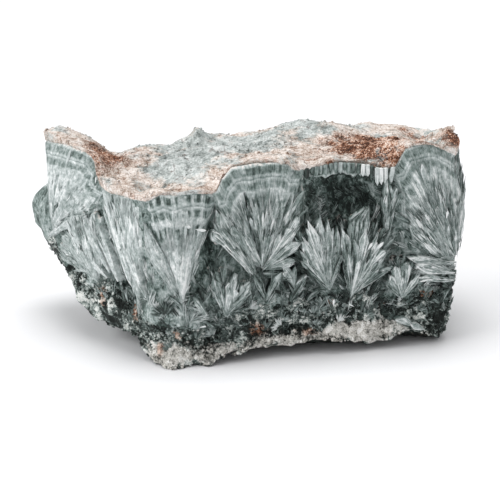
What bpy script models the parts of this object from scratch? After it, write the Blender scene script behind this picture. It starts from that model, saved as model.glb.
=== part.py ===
"""A hand-sized block of seraphinite, the feathery kind of clinochlore.

The stone grew as one piece, so it is one closed solid: a broken block with a weathered crust on top, fans of
radiating crystal plates on its walls, and a dark granular matrix below, undercut at one end.
The block is a wall that runs once round the stone, closed by a crust above and a base below. Every fan and
crystal is a closed wedge or spindle set a little into that wall, and Boolean unions fuse them to it.
Z is up, X runs along the stone and -Y is the broken face with the best fans. The stone rests on Z = 0.
"""

import bpy
import numpy as np

MM = 0.001

# The outline, clockwise from the near corner as seen from above, in millimetres. Each station gives the crust
# edge (x, y, z), the base edge (x, y, z) and how far the wall swells out between them.
OUTLINE = (
    (-23.0, -31.5, 43.8, -18.5, -33.0, 0.0, 0.5),
    (-7.0, -28.5, 44.0, -5.0, -30.5, 1.6, 0.8),
    (5.0, -24.5, 49.5, 6.5, -27.0, 3.0, 0.8),
    (19.0, -21.0, 48.8, 19.0, -23.5, 3.5, 0.5),
    (32.5, -18.0, 49.0, 32.0, -20.5, 2.5, 0.5),
    (43.5, -15.5, 53.0, 42.5, -17.5, 3.5, 1.0),
    (53.0, -13.0, 51.0, 50.0, -14.5, 1.2, 2.0),
    (55.2, -7.5, 52.5, 51.5, -9.0, 1.0, 2.2),
    (54.5, 6.0, 52.0, 50.5, 6.0, 1.0, 2.2),
    (52.0, 19.5, 49.0, 47.0, 18.5, 2.0, 2.5),
    (41.5, 30.5, 46.5, 38.0, 29.0, 2.0, 2.0),
    (20.0, 30.0, 46.0, 18.0, 29.5, 2.0, 1.5),
    (-5.0, 33.0, 43.5, -5.0, 31.0, 3.0, 1.0),
    (-26.0, 29.5, 40.0, -22.0, 25.0, 5.0, 2.5),
    (-43.5, 22.5, 40.5, -36.5, 16.5, 12.0, 3.0),
    (-49.5, 11.0, 47.5, -46.5, 8.5, 19.0, 1.0),
    (-51.8, 1.8, 52.0, -50.5, 0.5, 24.0, 0.2),
    (-43.0, -9.0, 49.8, -42.0, -10.0, 12.5, 0.5),
    (-35.3, -18.0, 45.2, -34.0, -19.5, 8.0, 0.0),
    (-29.3, -25.5, 43.8, -26.2, -27.0, 4.2, 0.0),
)
COLUMNS_PER_STATION = 4
WALL_LEVELS = 13
WALL_SET_BACK = 0.9  # the wall stands this far behind the outline, and the fans fill it out again
CENTRE = (2.0, 2.0)  # where the crust and the base close
TO_ORIGIN = (-0.555, -0.3, 0.0)  # brings the middle of the stone's box over the origin

# Crust: heights above the edge-to-crest blend, as (x, y, height, reach in x, reach in y).
CREST_HEIGHT = 48.5
CRUST_RINGS = (0.05, 0.14, 0.28, 0.48, 0.74)  # shares of the way from the edge to the centre
CRUST_RISE = 0.45  # the share of the way to the centre over which the edge blends into the crest
CRUST_FADE = 0.08  # the lumps grow from nothing at the edge to their full height over this share
CRUST_LUMPS = (
    (-47.0, 4.0, 3.2, 7.0, 8.0),
    (-30.0, 4.0, -6.0, 7.0, 14.0),
    (-22.0, -16.0, -3.5, 11.0, 9.0),
    (-12.5, 20.0, 2.0, 3.0, 4.0),
    (-14.0, 14.0, -2.2, 16.0, 16.0),
    (14.0, 15.0, 2.0, 12.0, 8.0),
    (33.0, -6.0, 1.2, 9.0, 8.0),
    (42.0, 14.0, 1.2, 5.0, 6.0),
    (53.0, -4.0, 2.4, 4.0, 6.0),
    (5.0, -12.0, 1.0, 9.0, 7.0),
)
CRUST_SKIRT = 4.0  # the set-back fades out over this height below the crust edge, so the crust caps the fans
CRUST_LIP = 0.1  # how far the crust edge stands out past the outline

# Base: a broad flat that carries the stone, with its edges lifted all round.
BASE_RINGS = 5
BASE_FLAT = 0.36  # the share of the way to the centre where the flat begins
BASE_CURVE = 1.5  # how soon the underside falls from the base edge to the flat

# Hollows in the wall, as (girth, height, half width, half height, depth). Girth is measured round the wall
# from the near corner, so that a place on the wall is (girth, height).
HOLLOWS = (
    (43.8, 39.5, 8.5, 6.5, 5.5),
    (-15.0, 16.5, 4.5, 3.5, 4.5),
    (62.5, 13.5, 5.5, 3.2, 4.0),
    (72.0, 12.5, 3.2, 3.2, 4.0),
    (24.0, 9.0, 3.5, 2.5, 2.0),
    (110.0, 20.0, 7.0, 6.0, 3.5),
    (176.0, 16.0, 9.0, 5.0, 3.5),
)
HOLLOW_STEEPNESS = 1.3  # 1 is a bell shape, and more gives a flatter floor with steeper sides
SIDE_LOBE = (216.5, 27.0, 8.5, 9.0, 11.5)  # a rounded lobe of plain stone on the back of the undercut end

# Fans, as (girth and height of the apex, lift, ribs), where ribs are (angle from upright, reach). A fan's
# fibres spread from its apex, and its lift is how far it bulges from the wall.
FANS = {
    "end": (-44.8, 25.0, 1.6, ((-2, 24.3), (14, 25.4), (29, 28.0), (42, 30.0), (52, 31.0), (64, 27.0))),
    "end_lower": (-22.5, 17.5, 2.6, ((-62, 17.0), (-40, 18.0), (-18, 17.0), (6, 17.5), (20, 15.0))),
    "corner": (-7.8, 12.5, 2.2, ((-27, 29.0), (-12, 31.5), (2, 31.2), (14, 30.0))),
    "near": (5.0, 16.5, 2.8, ((-15, 25.6), (-6, 27.5), (8, 27.9), (22, 28.8))),
    "tall": (25.8, 23.8, 2.4, (
        (-54, 14.0), (-40, 17.5), (-27, 22.5), (-13, 26.6), (3, 26.2), (17, 27.0), (30, 22.0), (45, 15.5),
    )),
    "low_left": (15.5, 14.5, 2.0, ((-20, 10.5), (0, 10.8), (16, 9.5))),
    "low_middle": (21.6, 14.0, 1.8, ((-22, 7.0), (0, 7.5), (24, 7.0))),
    "leaf_left": (40.9, 17.5, 2.6, ((-36, 14.0), (-18, 17.0), (0, 16.5), (15, 18.0))),
    "leaf_right": (49.5, 16.0, 2.8, ((-12, 19.5), (6, 18.5), (22, 17.5), (40, 16.0))),
    "right": (75.5, 23.0, 2.4, ((-58, 17.5), (-44, 23.0), (-32, 28.6), (-23, 31.0), (-10, 30.0), (6, 28.0))),
    "mossy": (62.0, 17.0, 2.0, ((-60, 6.5), (-20, 7.5), (20, 7.5), (60, 6.0))),
    "lying": (76.0, 20.5, 1.6, ((-112, 8.0), (-92, 9.5), (-74, 9.0))),
}
COLUMN_BAND = (45.6, 22.0, 1.4, ((-27, 27.0), (-10, 27.2), (8, 27.6), (25, 27.4)))
BAND_START = 0.87  # the columns keep only this outermost share of their reach

# The fans that continue round the far sides: how many, between which girths, and the ranges they vary over.
FAR_FANS = 9
FAR_GIRTHS = (90.0, 212.0)
FAR_SHIFTS = (-3.0, 3.0)
FAR_HEIGHTS = (16.0, 26.0)
FAR_SPREADS = (20, 33)
FAR_LEANS = (-12, 12)
FAR_FILLS = (0.94, 1.0)  # the share of the way to the crust that a rib reaches
FAR_LIFTS = (2.1, 3.0)
FAR_RIBS = 5

FAN_LEVELS = (0.07, 0.34, 0.62, 0.86, 1.0)
RIB_STEP = 7.0  # degrees from one flat facet of a fan to the next
FLUTE = 0.28  # every other rib stands out by this much
FAN_ROOT = 3.2  # how deep a fan is set into the wall
FAN_CROWN = 0.8  # how much of its lift a fan loses towards its sides
FAN_SWELL = (0.12, 0.88, 0.6)  # its bulge from apex to rim is this stretch of a half wave, to this power
FEWEST_PLATES = 4
FAN_SINK = 0.45  # a fan with no lift would lie this far behind the outline
RIM_MARGIN = 0.35  # a fibre stops this far below the crust edge

# Pointed crystals that stand out from the fans, as (girth and height of the foot, angle from upright, tilt
# out of the wall, length, width).
BLADES = (
    (47.6, 25.5, -3, 14, 10.5, 3.6),
    (50.5, 27.0, 6, 16, 9.5, 3.8),
    (53.5, 22.0, 24, 18, 9.0, 3.0),
    (42.0, 22.0, -12, 16, 10.0, 3.0),
    (38.5, 23.0, -24, 14, 10.0, 2.8),
    (30.0, 28.0, 42, 14, 9.5, 3.2),
    (28.0, 25.0, 60, 12, 8.5, 3.0),
    (27.5, 23.5, 82, 10, 8.0, 2.8),
    (27.0, 21.5, 100, 12, 8.0, 2.6),
    (74.0, 21.0, -78, 12, 10.0, 3.4),
    (73.0, 18.0, -96, 10, 8.5, 3.0),
    (-9.0, 24.0, 172, 8, 11.0, 3.6),
    (-19.0, 25.0, 168, 10, 9.0, 3.4),
    (3.5, 15.0, 186, 10, 7.5, 3.2),
    (68.0, 11.5, -12, 20, 5.0, 2.6),
)
BLADE_SIDES = 6
BLADE_ROOT = 1.7  # how deep a crystal's foot is set into the wall
BLADE_TAIL = 0.35  # the share of its length that carries on below the foot
BLADE_RINGS = ((-0.22, 0.35), (0.12, 0.8), (0.55, 1.0), (0.8, 0.75))  # (share of length, share of width)
BLADE_FLATNESS = 0.5
FAR_BLADES_PER_FAN = 2
FAR_BLADE_RANGES = ((-6, 6), (-5, 4), (-40, 40), (12, 20), (7, 10), (2.6, 3.6))  # as in BLADES, from the apex

# Broken surfaces, as (size of a lump, how far it stands out): broad breaks, then knobs.
BREAKS = ((15.0, 1.5), (6.5, 0.9))
MATRIX_KNOBS = (4.2, 1.5)
MATRIX_TOP = 15.0  # the granular matrix fades out over this height above the base edge
CRUST_KNOBS = ((11.0, 1.5), (5.5, 0.9))

# Whole numbers that scramble a lattice cell into a value.
HASH_STEPS = (374761393, 668265263, 2147483647)
HASH_SEED = 974711
HASH_MIX = 1274126177
HASH_BITS = 0xFFFF

FIBRE_GREEN = (0.31, 0.37, 0.36, 1.0)
STONE_ROUGHNESS = 0.55
SEED = 7


def lattice_value(cells, seed):
    """A repeatable value from -1 to 1 for each whole-number (x, y, z) cell."""
    mixed = (cells * np.array(HASH_STEPS)).sum(-1) + seed * HASH_SEED
    mixed = (mixed ^ (mixed >> 13)) * HASH_MIX & 0xFFFFFFFF
    return ((mixed ^ (mixed >> 16)) & HASH_BITS) / (HASH_BITS / 2) - 1


def lumps(points, size, seed):
    """Smooth random lumps of about this size: lattice values blended between the eight corners of a cell."""
    place = np.asarray(points) / size
    cell = np.floor(place).astype(np.int64)
    t = place - cell
    t = t * t * (3 - 2 * t)
    total = 0
    for corner in np.ndindex(2, 2, 2):
        share = np.prod(np.where(corner, t, 1 - t), axis=-1)
        total = total + share * lattice_value(cell + np.array(corner), seed)
    return total


def clear_scene():
    for obj in list(bpy.data.objects):
        bpy.data.objects.remove(obj, do_unlink=True)


def stone_material():
    material = bpy.data.materials.new("seraphinite")
    material.use_nodes = True
    shader = material.node_tree.nodes["Principled BSDF"]
    shader.inputs["Base Color"].default_value = FIBRE_GREEN
    shader.inputs["Roughness"].default_value = STONE_ROUGHNESS
    shader.inputs["Metallic"].default_value = 0.0
    return material


def outline_at(turn):
    """The seven outline values at a turn of 0 to the number of stations, on a smooth closed curve."""
    stations = np.array(OUTLINE)
    count = len(stations)
    turn = np.asarray(turn, float) % count
    first = np.floor(turn).astype(int)
    t = (turn - first)[..., None]
    a, b, c, d = (stations[(first + step) % count] for step in (-1, 0, 1, 2))
    return 0.5 * (2 * b + (c - a) * t + (2 * a - 5 * b + 4 * c - d) * t**2 + (3 * b - a - 3 * c + d) * t**3)


# The way round the wall, measured half way up: GIRTHS holds it for each of TURNS.
TURN_STEPS = 3000
TURNS = np.linspace(0, len(OUTLINE), TURN_STEPS + 1)
MIDDLES = (outline_at(TURNS)[:, :2] + outline_at(TURNS)[:, 3:5]) / 2
GIRTHS = np.concatenate([[0], np.cumsum(np.linalg.norm(np.diff(MIDDLES, axis=0), axis=1))])


def turn_of(girth):
    return np.interp(np.asarray(girth, float) % GIRTHS[-1], GIRTHS, TURNS)


def outward(turn):
    """The level unit vector that points out of the wall, square to the outline a little either side."""
    step = 0.02
    ahead, behind = outline_at(np.asarray(turn) + step), outline_at(np.asarray(turn) - step)
    along = ahead[..., :2] + ahead[..., 3:5] - behind[..., :2] - behind[..., 3:5]
    across = np.stack([along[..., 1], -along[..., 0]], -1)
    return across / np.linalg.norm(across, axis=-1, keepdims=True)


def girth_between(girth, middle):
    """The signed way round the wall from middle to girth."""
    half = GIRTHS[-1] / 2
    return (girth - middle + half) % GIRTHS[-1] - half


def wall(girth, height, out=0.0):
    """Points on the wall: a straight line from base edge to crust edge that swells between them, plus out."""
    girth, height = np.broadcast_arrays(np.asarray(girth, float), np.asarray(height, float))
    turn = turn_of(girth)
    edge = outline_at(turn)
    share = (height - edge[..., 5]) / (edge[..., 2] - edge[..., 5])
    points = edge[..., 3:6] * (1 - share[..., None]) + edge[..., :3] * share[..., None]
    swell = edge[..., 6] * 4 * np.clip(share * (1 - share), 0, 1) + out
    points[..., :2] += outward(turn) * swell[..., None]
    return points


def dent(girth, height, place):
    """A rounded bump of height 1 at a (girth, height, half width, half height) place on the wall."""
    across = girth_between(girth, place[0]) / place[2]
    up = (height - place[1]) / place[3]
    return np.exp(-((across**2 + up**2) ** HOLLOW_STEEPNESS))


def wall_relief(girth, height):
    """How far the bare wall stands out. It is set back for the fans, dented by the hollows, swollen by the lobe
    and broken into lumps that are strongest in the matrix, and it comes forward again under the crust edge."""
    edge = outline_at(turn_of(girth))
    points = wall(girth, height)
    skirt = np.clip(1 - (edge[..., 2] - height) / CRUST_SKIRT, 0, 1)
    matrix = np.clip(1 - (height - edge[..., 5]) / MATRIX_TOP, 0, 1)
    out = -WALL_SET_BACK + (WALL_SET_BACK + CRUST_LIP) * skirt
    out = out - sum(place[4] * dent(girth, height, place) for place in HOLLOWS)
    out = out + SIDE_LOBE[4] * dent(girth, height, SIDE_LOBE)
    out = out + sum(rise * lumps(points, size, SEED) for size, rise in BREAKS)
    return out + MATRIX_KNOBS[1] * matrix * lumps(points, MATRIX_KNOBS[0], SEED + 1)


def crust_height(x, y, edge_height, inward):
    """The crust: the edge's height blends into the crest over CRUST_RISE, then lumps and dips are added."""
    t = np.clip(inward / CRUST_RISE, 0, 1)
    blend = t * t * (3 - 2 * t)
    height = edge_height * (1 - blend) + CREST_HEIGHT * blend
    fade = np.clip(inward / CRUST_FADE, 0, 1)
    for cx, cy, rise, reach_x, reach_y in CRUST_LUMPS:
        height = height + fade * rise * np.exp(-(((x - cx) / reach_x) ** 2) - ((y - cy) / reach_y) ** 2)
    plan = np.stack(np.broadcast_arrays(x, y, 0.0), -1)
    return height + fade * sum(rise * lumps(plan, size, SEED + 2) for size, rise in CRUST_KNOBS)


def block_mesh():
    """The wall as rings from the base up, the crust as rings inwards from the top one, the base likewise."""
    columns = COLUMNS_PER_STATION * len(OUTLINE)
    turns = np.arange(columns) / COLUMNS_PER_STATION
    edge = outline_at(turns)
    girth = np.interp(turns, TURNS, GIRTHS)
    rings = []
    for share in np.linspace(0, 1, WALL_LEVELS):
        height = edge[:, 5] * (1 - share) + edge[:, 2] * share
        rings.append(wall(girth, height, wall_relief(girth, height)))
    for inward in CRUST_RINGS:
        plan = rings[WALL_LEVELS - 1][:, :2] * (1 - inward) + np.array(CENTRE) * inward
        height = crust_height(plan[:, 0], plan[:, 1], edge[:, 2], inward)
        rings.append(np.column_stack([plan, height]))
    top = (*CENTRE, crust_height(*CENTRE, CREST_HEIGHT, 1.0))
    under = []
    for inward in np.linspace(0, BASE_FLAT, BASE_RINGS + 1)[1:]:
        plan = rings[0][:, :2] * (1 - inward) + np.array(CENTRE) * inward
        fall = (1 - inward / BASE_FLAT) ** BASE_CURVE
        under.append(np.column_stack([plan, edge[:, 5] * fall]))
    rings = under[::-1] + rings
    points = np.concatenate([np.concatenate(rings), [(*CENTRE, 0.0), top]])
    points[:, 2] = np.maximum(points[:, 2], 0.0)
    base_centre, crust_centre = len(points) - 2, len(points) - 1
    this = np.arange(columns)
    following = np.roll(this, -1)
    faces = []
    for ring in range(len(rings) - 1):
        low, high = ring * columns, (ring + 1) * columns
        faces.append(np.column_stack([this + low, following + low, following + high]))
        faces.append(np.column_stack([this + low, following + high, this + high]))
    faces.append(np.column_stack([following, this, np.full(columns, base_centre)]))
    last = (len(rings) - 1) * columns
    faces.append(np.column_stack([this + last, following + last, np.full(columns, crust_centre)]))
    return points, np.concatenate(faces)


def add_object(name, points, faces, material):
    mesh = bpy.data.meshes.new(name)
    placed = (points + np.array(TO_ORIGIN)) * MM
    mesh.from_pydata(placed.tolist(), [], [tuple(face) for face in faces.tolist()])
    mesh.materials.append(material)
    mesh.validate()
    obj = bpy.data.objects.new(name, mesh)
    bpy.context.scene.collection.objects.link(obj)
    return obj


def closed_slab(front, back):
    """A closed solid between two grids of points that face each other, seen with the front towards one."""
    rows, cols = front.shape[:2]
    index = np.arange(rows * cols).reshape(rows, cols)
    quads = [np.stack([index[:-1, :-1], index[:-1, 1:], index[1:, 1:], index[1:, :-1]], -1).reshape(-1, 4)]
    quads.append(quads[0][:, ::-1] + rows * cols)
    rim = np.concatenate([index[0, :], index[1:, -1], index[-1, -2::-1], index[-2:0:-1, 0]])
    ahead = np.roll(rim, -1)
    quads.append(np.column_stack([ahead, rim, rim + rows * cols, ahead + rows * cols]))
    return np.concatenate([front.reshape(-1, 3), back.reshape(-1, 3)]), np.concatenate(quads)


def rim_reach(girth, height, angle):
    """How far a fibre from this apex goes before it meets the crust edge, by a few steps of correction."""
    corrections = 6
    reach = np.zeros(np.shape(angle))
    for _ in range(corrections):
        top = outline_at(turn_of(girth + reach * np.sin(angle)))[..., 2]
        reach = (top - RIM_MARGIN - height) / np.cos(angle)
    return reach


def fan_slab(fan, levels):
    """A spray of plates: ribs spread from the apex, each other one stands out, and the middle bulges most."""
    girth, height, lift, ribs = fan
    first, last = ribs[0][0], ribs[-1][0]
    count = max(FEWEST_PLATES, int(round((last - first) / RIB_STEP)))
    angle = np.linspace(first, last, count + 1)
    reach = np.interp(angle, [rib[0] for rib in ribs], [rib[1] for rib in ribs])
    share = np.linspace(-1, 1, count + 1)
    along = np.array(levels)[:, None] * reach
    place = np.radians(angle)
    across = girth + along * np.sin(place)
    up = height + along * np.cos(place)
    start, end, power = FAN_SWELL
    swell = np.sin(np.pi * (start + (end - start) * np.array(levels)))[:, None] ** power
    bulge = np.sqrt(1 - FAN_CROWN * share**2) * swell
    flute = FLUTE * np.where(np.arange(count + 1) % 2, 1, -1) * np.array(levels)[:, None]
    front = wall(across, up, lift * bulge + flute - FAN_SINK)
    back = wall(across, up, -FAN_ROOT)
    return closed_slab(front, back)


def far_fans():
    """The fans of the far sides, evenly spaced, each with its own shift, height, spread, lean and lift."""
    rng = np.random.default_rng(SEED + 1)
    fans = {}
    for number, girth in enumerate(np.linspace(*FAR_GIRTHS, FAR_FANS)):
        girth += rng.uniform(*FAR_SHIFTS)
        height = rng.uniform(*FAR_HEIGHTS)
        angles = np.linspace(-1, 1, FAR_RIBS) * rng.uniform(*FAR_SPREADS) + rng.uniform(*FAR_LEANS)
        reach = rim_reach(girth, height, np.radians(angles)) * rng.uniform(*FAR_FILLS, FAR_RIBS)
        ribs = tuple(zip(angles.tolist(), reach.tolist()))
        fans[f"far_{number}"] = (girth, height, rng.uniform(*FAR_LIFTS), ribs)
    return fans


def blade_spindle(girth, height, angle, tilt, length, width):
    """A flattened crystal with BLADE_SIDES flat faces and a point at each end, its foot sunk in the wall."""
    foot = wall(girth, height, -BLADE_ROOT)
    normal = np.append(outward(turn_of(girth)), 0.0)
    up = np.array((0.0, 0.0, 1.0))
    turn, lean = np.radians(angle), np.radians(tilt)
    flat = np.cross(up, normal) * np.sin(turn) + up * np.cos(turn)
    along = flat * np.cos(lean) + normal * np.sin(lean)
    side = np.cross(along, normal)
    side /= np.linalg.norm(side)
    thick = np.cross(side, along) * BLADE_FLATNESS
    angles = -np.arange(BLADE_SIDES) / BLADE_SIDES * 2 * np.pi
    ring = (side * np.cos(angles)[:, None] + thick * np.sin(angles)[:, None]) * width / 2
    rings = [foot + along * length * stop + ring * wide for stop, wide in BLADE_RINGS]
    points = np.concatenate([*rings, [foot - along * length * BLADE_TAIL, foot + along * length]])
    this = np.arange(BLADE_SIDES)
    following = np.roll(this, -1)
    faces = []
    for number in range(len(rings) - 1):
        low, high = number * BLADE_SIDES, (number + 1) * BLADE_SIDES
        faces.append(np.column_stack([this + low, following + low, following + high]))
        faces.append(np.column_stack([this + low, following + high, this + high]))
    tail, tip = len(points) - 2, len(points) - 1
    last = (len(rings) - 1) * BLADE_SIDES
    faces.append(np.column_stack([following, this, np.full(BLADE_SIDES, tail)]))
    faces.append(np.column_stack([this + last, following + last, np.full(BLADE_SIDES, tip)]))
    return points, np.concatenate(faces)


def far_blades(fans):
    """A few pointed crystals over the foot of each fan on the far sides."""
    rng = np.random.default_rng(SEED + 2)
    lows, highs = zip(*FAR_BLADE_RANGES)
    blades = []
    for girth, height, _, _ in fans.values():
        for _ in range(FAR_BLADES_PER_FAN):
            blade = rng.uniform(lows, highs)
            blade[:2] += girth, height
            blades.append(tuple(blade))
    return blades


def make_stone():
    material = stone_material()
    stone = add_object("seraphinite", *block_mesh(), material)
    growths = bpy.data.collections.new("growths")
    bpy.context.scene.collection.children.link(growths)
    far = far_fans()
    solids = {name: fan_slab(fan, FAN_LEVELS) for name, fan in {**FANS, **far}.items()}
    solids["columns"] = fan_slab(COLUMN_BAND, (BAND_START, 1.0))
    blades = [*BLADES, *far_blades(far)]
    solids.update({f"blade_{number}": blade_spindle(*blade) for number, blade in enumerate(blades)})
    for name, (points, faces) in solids.items():
        growth = add_object(f"growth_{name}", points, faces, material)
        bpy.context.scene.collection.objects.unlink(growth)
        growths.objects.link(growth)
        growth.hide_render = True
        growth.display_type = "WIRE"
    union = stone.modifiers.new("growths", "BOOLEAN")
    union.operation = "UNION"
    union.operand_type = "COLLECTION"
    union.collection = growths
    union.solver = "EXACT"


clear_scene()
make_stone()
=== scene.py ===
# %% [markdown]
# # A hand-sized block of seraphinite
#
# Seraphinite is clinochlore that has grown in feathers: sprays of thin plates that spread from a point, silvery
# green, with growth bands near their rims. This block is one broken stone. Fans stand on its walls, a weathered
# cream and rust crust covers the top, and a dark granular rock carries it all.
#
# The scene starts from the plain solid of the stone, which is only there for its size and its place. Everything
# that shows is made here: a fine skin, the fans, their loose crystals, and the grains that cling to them.

# %% Load the plain solid as the frame
import time
from collections import namedtuple

import bpy
import numpy as np
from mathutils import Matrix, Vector


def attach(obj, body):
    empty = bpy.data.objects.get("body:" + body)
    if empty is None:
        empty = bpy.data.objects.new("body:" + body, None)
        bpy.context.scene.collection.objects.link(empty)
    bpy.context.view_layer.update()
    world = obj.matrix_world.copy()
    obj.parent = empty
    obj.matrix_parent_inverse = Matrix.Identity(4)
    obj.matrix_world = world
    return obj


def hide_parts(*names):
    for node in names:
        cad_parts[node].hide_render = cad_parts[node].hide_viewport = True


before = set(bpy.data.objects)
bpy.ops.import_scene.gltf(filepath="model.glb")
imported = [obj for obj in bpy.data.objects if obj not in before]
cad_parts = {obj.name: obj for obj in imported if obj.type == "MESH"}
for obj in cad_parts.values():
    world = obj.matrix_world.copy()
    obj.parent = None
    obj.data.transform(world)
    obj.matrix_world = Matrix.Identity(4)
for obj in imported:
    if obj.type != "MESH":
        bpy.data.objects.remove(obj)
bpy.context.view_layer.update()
began = time.perf_counter()

# %% [markdown]
# ## The shape of the stone
#
# The stone could be sculpted by hand, but then no other piece would know where its surface is. Here one closed
# outline is listed by a few stations, and every point of the wall follows from two numbers: girth, the way round
# the stone in millimetres from its nearest corner, and height. Fans, crystals and grains are all placed with the
# same two numbers, so they sit on the wall wherever it bends.

# %% The outline: crust edge (x, y, z), base edge (x, y, z) and swell, in millimetres
OUTLINE = np.array([
    (-23, -31.5, 43.8, -18.5, -33, 0, 0.5), (-7, -28.5, 44, -5, -30.5, 1.6, 0.8),
    (5, -24.5, 49.5, 6.5, -27, 3, 0.8), (19, -21, 48.8, 19, -23.5, 3.5, 0.5),
    (32.5, -18, 49, 32, -20.5, 2.5, 0.5), (43.5, -15.5, 53, 42.5, -17.5, 3.5, 1),
    (53, -13, 51, 50, -14.5, 1.2, 2), (55.2, -7.5, 52.5, 51.5, -9, 1, 2.2),
    (54.5, 6, 52, 50.5, 6, 1, 2.2), (52, 19.5, 49, 47, 18.5, 2, 2.5),
    (41.5, 30.5, 46.5, 38, 29, 2, 2), (20, 30, 46, 18, 29.5, 2, 1.5),
    (-5, 33, 43.5, -5, 31, 3, 1), (-26, 29.5, 40, -22, 25, 5, 2.5),
    (-43.5, 22.5, 40.5, -36.5, 16.5, 12, 3), (-49.5, 11, 47.5, -46.5, 8.5, 19, 1),
    (-51.8, 1.8, 52, -50.5, 0.5, 24, 0.2), (-43, -9, 49.8, -42, -10, 12.5, 0.5),
    (-35.3, -18, 45.2, -34, -19.5, 8, 0), (-29.3, -25.5, 43.8, -26.2, -27, 4.2, 0),
])
CENTRE = np.array([2.0, 2.0])
TO_ORIGIN = np.array([-0.555, -0.3, 0.0])
MM = 0.001


def outline_at(turn):
    """The outline's seven values on a smooth closed curve through its stations (Catmull-Rom)."""
    count = len(OUTLINE)
    turn = np.asarray(turn, float) % count
    first = np.floor(turn).astype(int)
    t = (turn - first)[..., None]
    a, b, c, d = (OUTLINE[(first + step) % count] for step in (-1, 0, 1, 2))
    return 0.5 * (2 * b + (c - a) * t + (2 * a - 5 * b + 4 * c - d) * t**2 + (3 * b - a - 3 * c + d) * t**3)


TURNS = np.linspace(0, len(OUTLINE), 3001)
MIDDLES = (outline_at(TURNS)[:, :2] + outline_at(TURNS)[:, 3:5]) / 2
GIRTHS = np.concatenate([[0], np.cumsum(np.linalg.norm(np.diff(MIDDLES, axis=0), axis=1))])
WHOLE_GIRTH = GIRTHS[-1]


def turn_of(girth):
    """The place on the outline that lies this far round the stone."""
    return np.interp(np.asarray(girth, float) % WHOLE_GIRTH, GIRTHS, TURNS)


def base_height(girth):
    """The height of the outline's base edge."""
    return outline_at(turn_of(girth))[..., 5]


def outward(girth):
    """The level unit vector that points out of the wall: the outline's direction, turned a quarter."""
    turn = turn_of(girth)
    ahead, behind = outline_at(turn + 0.02), outline_at(turn - 0.02)
    along = ahead[..., :2] + ahead[..., 3:5] - behind[..., :2] - behind[..., 3:5]
    across = np.stack([along[..., 1], -along[..., 0]], -1)
    return across / np.linalg.norm(across, axis=-1, keepdims=True)


def wall(girth, height, out=0.0):
    """A point of the wall: a straight line from base edge to crust edge that swells between them, plus out."""
    girth, height = np.broadcast_arrays(np.asarray(girth, float), np.asarray(height, float))
    edge = outline_at(turn_of(girth))
    share = (height - edge[..., 5]) / (edge[..., 2] - edge[..., 5])
    points = edge[..., 3:6] * (1 - share[..., None]) + edge[..., :3] * share[..., None]
    swell = edge[..., 6] * 4 * np.clip(share * (1 - share), 0, 1) + out
    points[..., :2] += outward(girth) * swell[..., None]
    return points


print("the wall is", round(WHOLE_GIRTH, 1), "mm round")

# %% [markdown]
# ## Roughness made of numbers
#
# Broken stone has lumps of every size. A displacement texture would do, but it can't be asked what it did, and
# the colours here have to follow the shape. So the noise is a plain function: a repeatable value for each cell of
# a lattice, blended between the cell's corners. A second one measures how far a point is from the nearest of many
# scattered points, which gives grains with sharp valleys between them.

# %% Noise
SEED = 7
CELL_FACTORS = np.array((374761393, 668265263, 2147483647))


def as_points(*parts):
    """Numbers or arrays, stretched to one shape, as the coordinates of points."""
    return np.stack(np.broadcast_arrays(*parts), -1)


def lattice_value(cells, seed):
    """A repeatable value from -1 to 1 for each whole-number (x, y, z) cell, by mixing its bits."""
    mixed = (cells * CELL_FACTORS).sum(-1) + seed * 974711
    with np.errstate(over="ignore"):  # the product is meant to wrap round
        mixed = (mixed ^ (mixed >> 13)) * 1274126177 & 0xFFFFFFFF
    return ((mixed ^ (mixed >> 16)) & 0xFFFF) / 32767.5 - 1


def lumps(points, size, seed):
    """Smooth lumps of this size: lattice values blended between the eight corners of a cell."""
    place = np.asarray(points) / size
    cell = np.floor(place).astype(np.int64)
    t = place - cell
    t = t * t * (3 - 2 * t)
    total = 0
    for corner in np.ndindex(2, 2, 2):
        share = np.prod(np.where(corner, t, 1 - t), axis=-1)
        total = total + share * lattice_value(cell + np.array(corner), seed)
    return total


def grains_at(points, size, seed):
    """(distance to the nearest scattered point in cells, that point's own value): one point jitters in each cell."""
    place = np.asarray(points) / size
    cell = np.floor(place).astype(np.int64)
    nearest = np.full(place.shape[:-1], 9.0)
    value = np.zeros(place.shape[:-1])
    for corner in np.ndindex(3, 3, 3):
        there = cell + np.array(corner) - 1
        jitter = np.stack([lattice_value(there, seed + axis) for axis in range(3)], -1)
        distance = np.linalg.norm(place - there - 0.5 - 0.45 * jitter, axis=-1)
        value = np.where(distance < nearest, lattice_value(there, seed + 3), value)
        nearest = np.minimum(distance, nearest)
    return nearest, value


def smooth_step(low, high, value):
    """0 below low, 1 above high, and an easy curve between them."""
    t = np.clip((value - low) / (high - low), 0, 1)
    return t * t * (3 - 2 * t)


def girth_between(girth, middle):
    """The signed way round the wall from middle to girth."""
    return (girth - middle + WHOLE_GIRTH / 2) % WHOLE_GIRTH - WHOLE_GIRTH / 2


# %% [markdown]
# ## From arrays to a mesh
#
# Every piece is worked out as arrays and handed to Blender in one go, which is far quicker than adding points one
# by one. The helper also stores what a material has to know about the surface: a UV map for patterns that follow
# the fibres, and plain numbers per point, such as how rusty the crust is there.

# %% Mesh helper
PIECES = []


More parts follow.
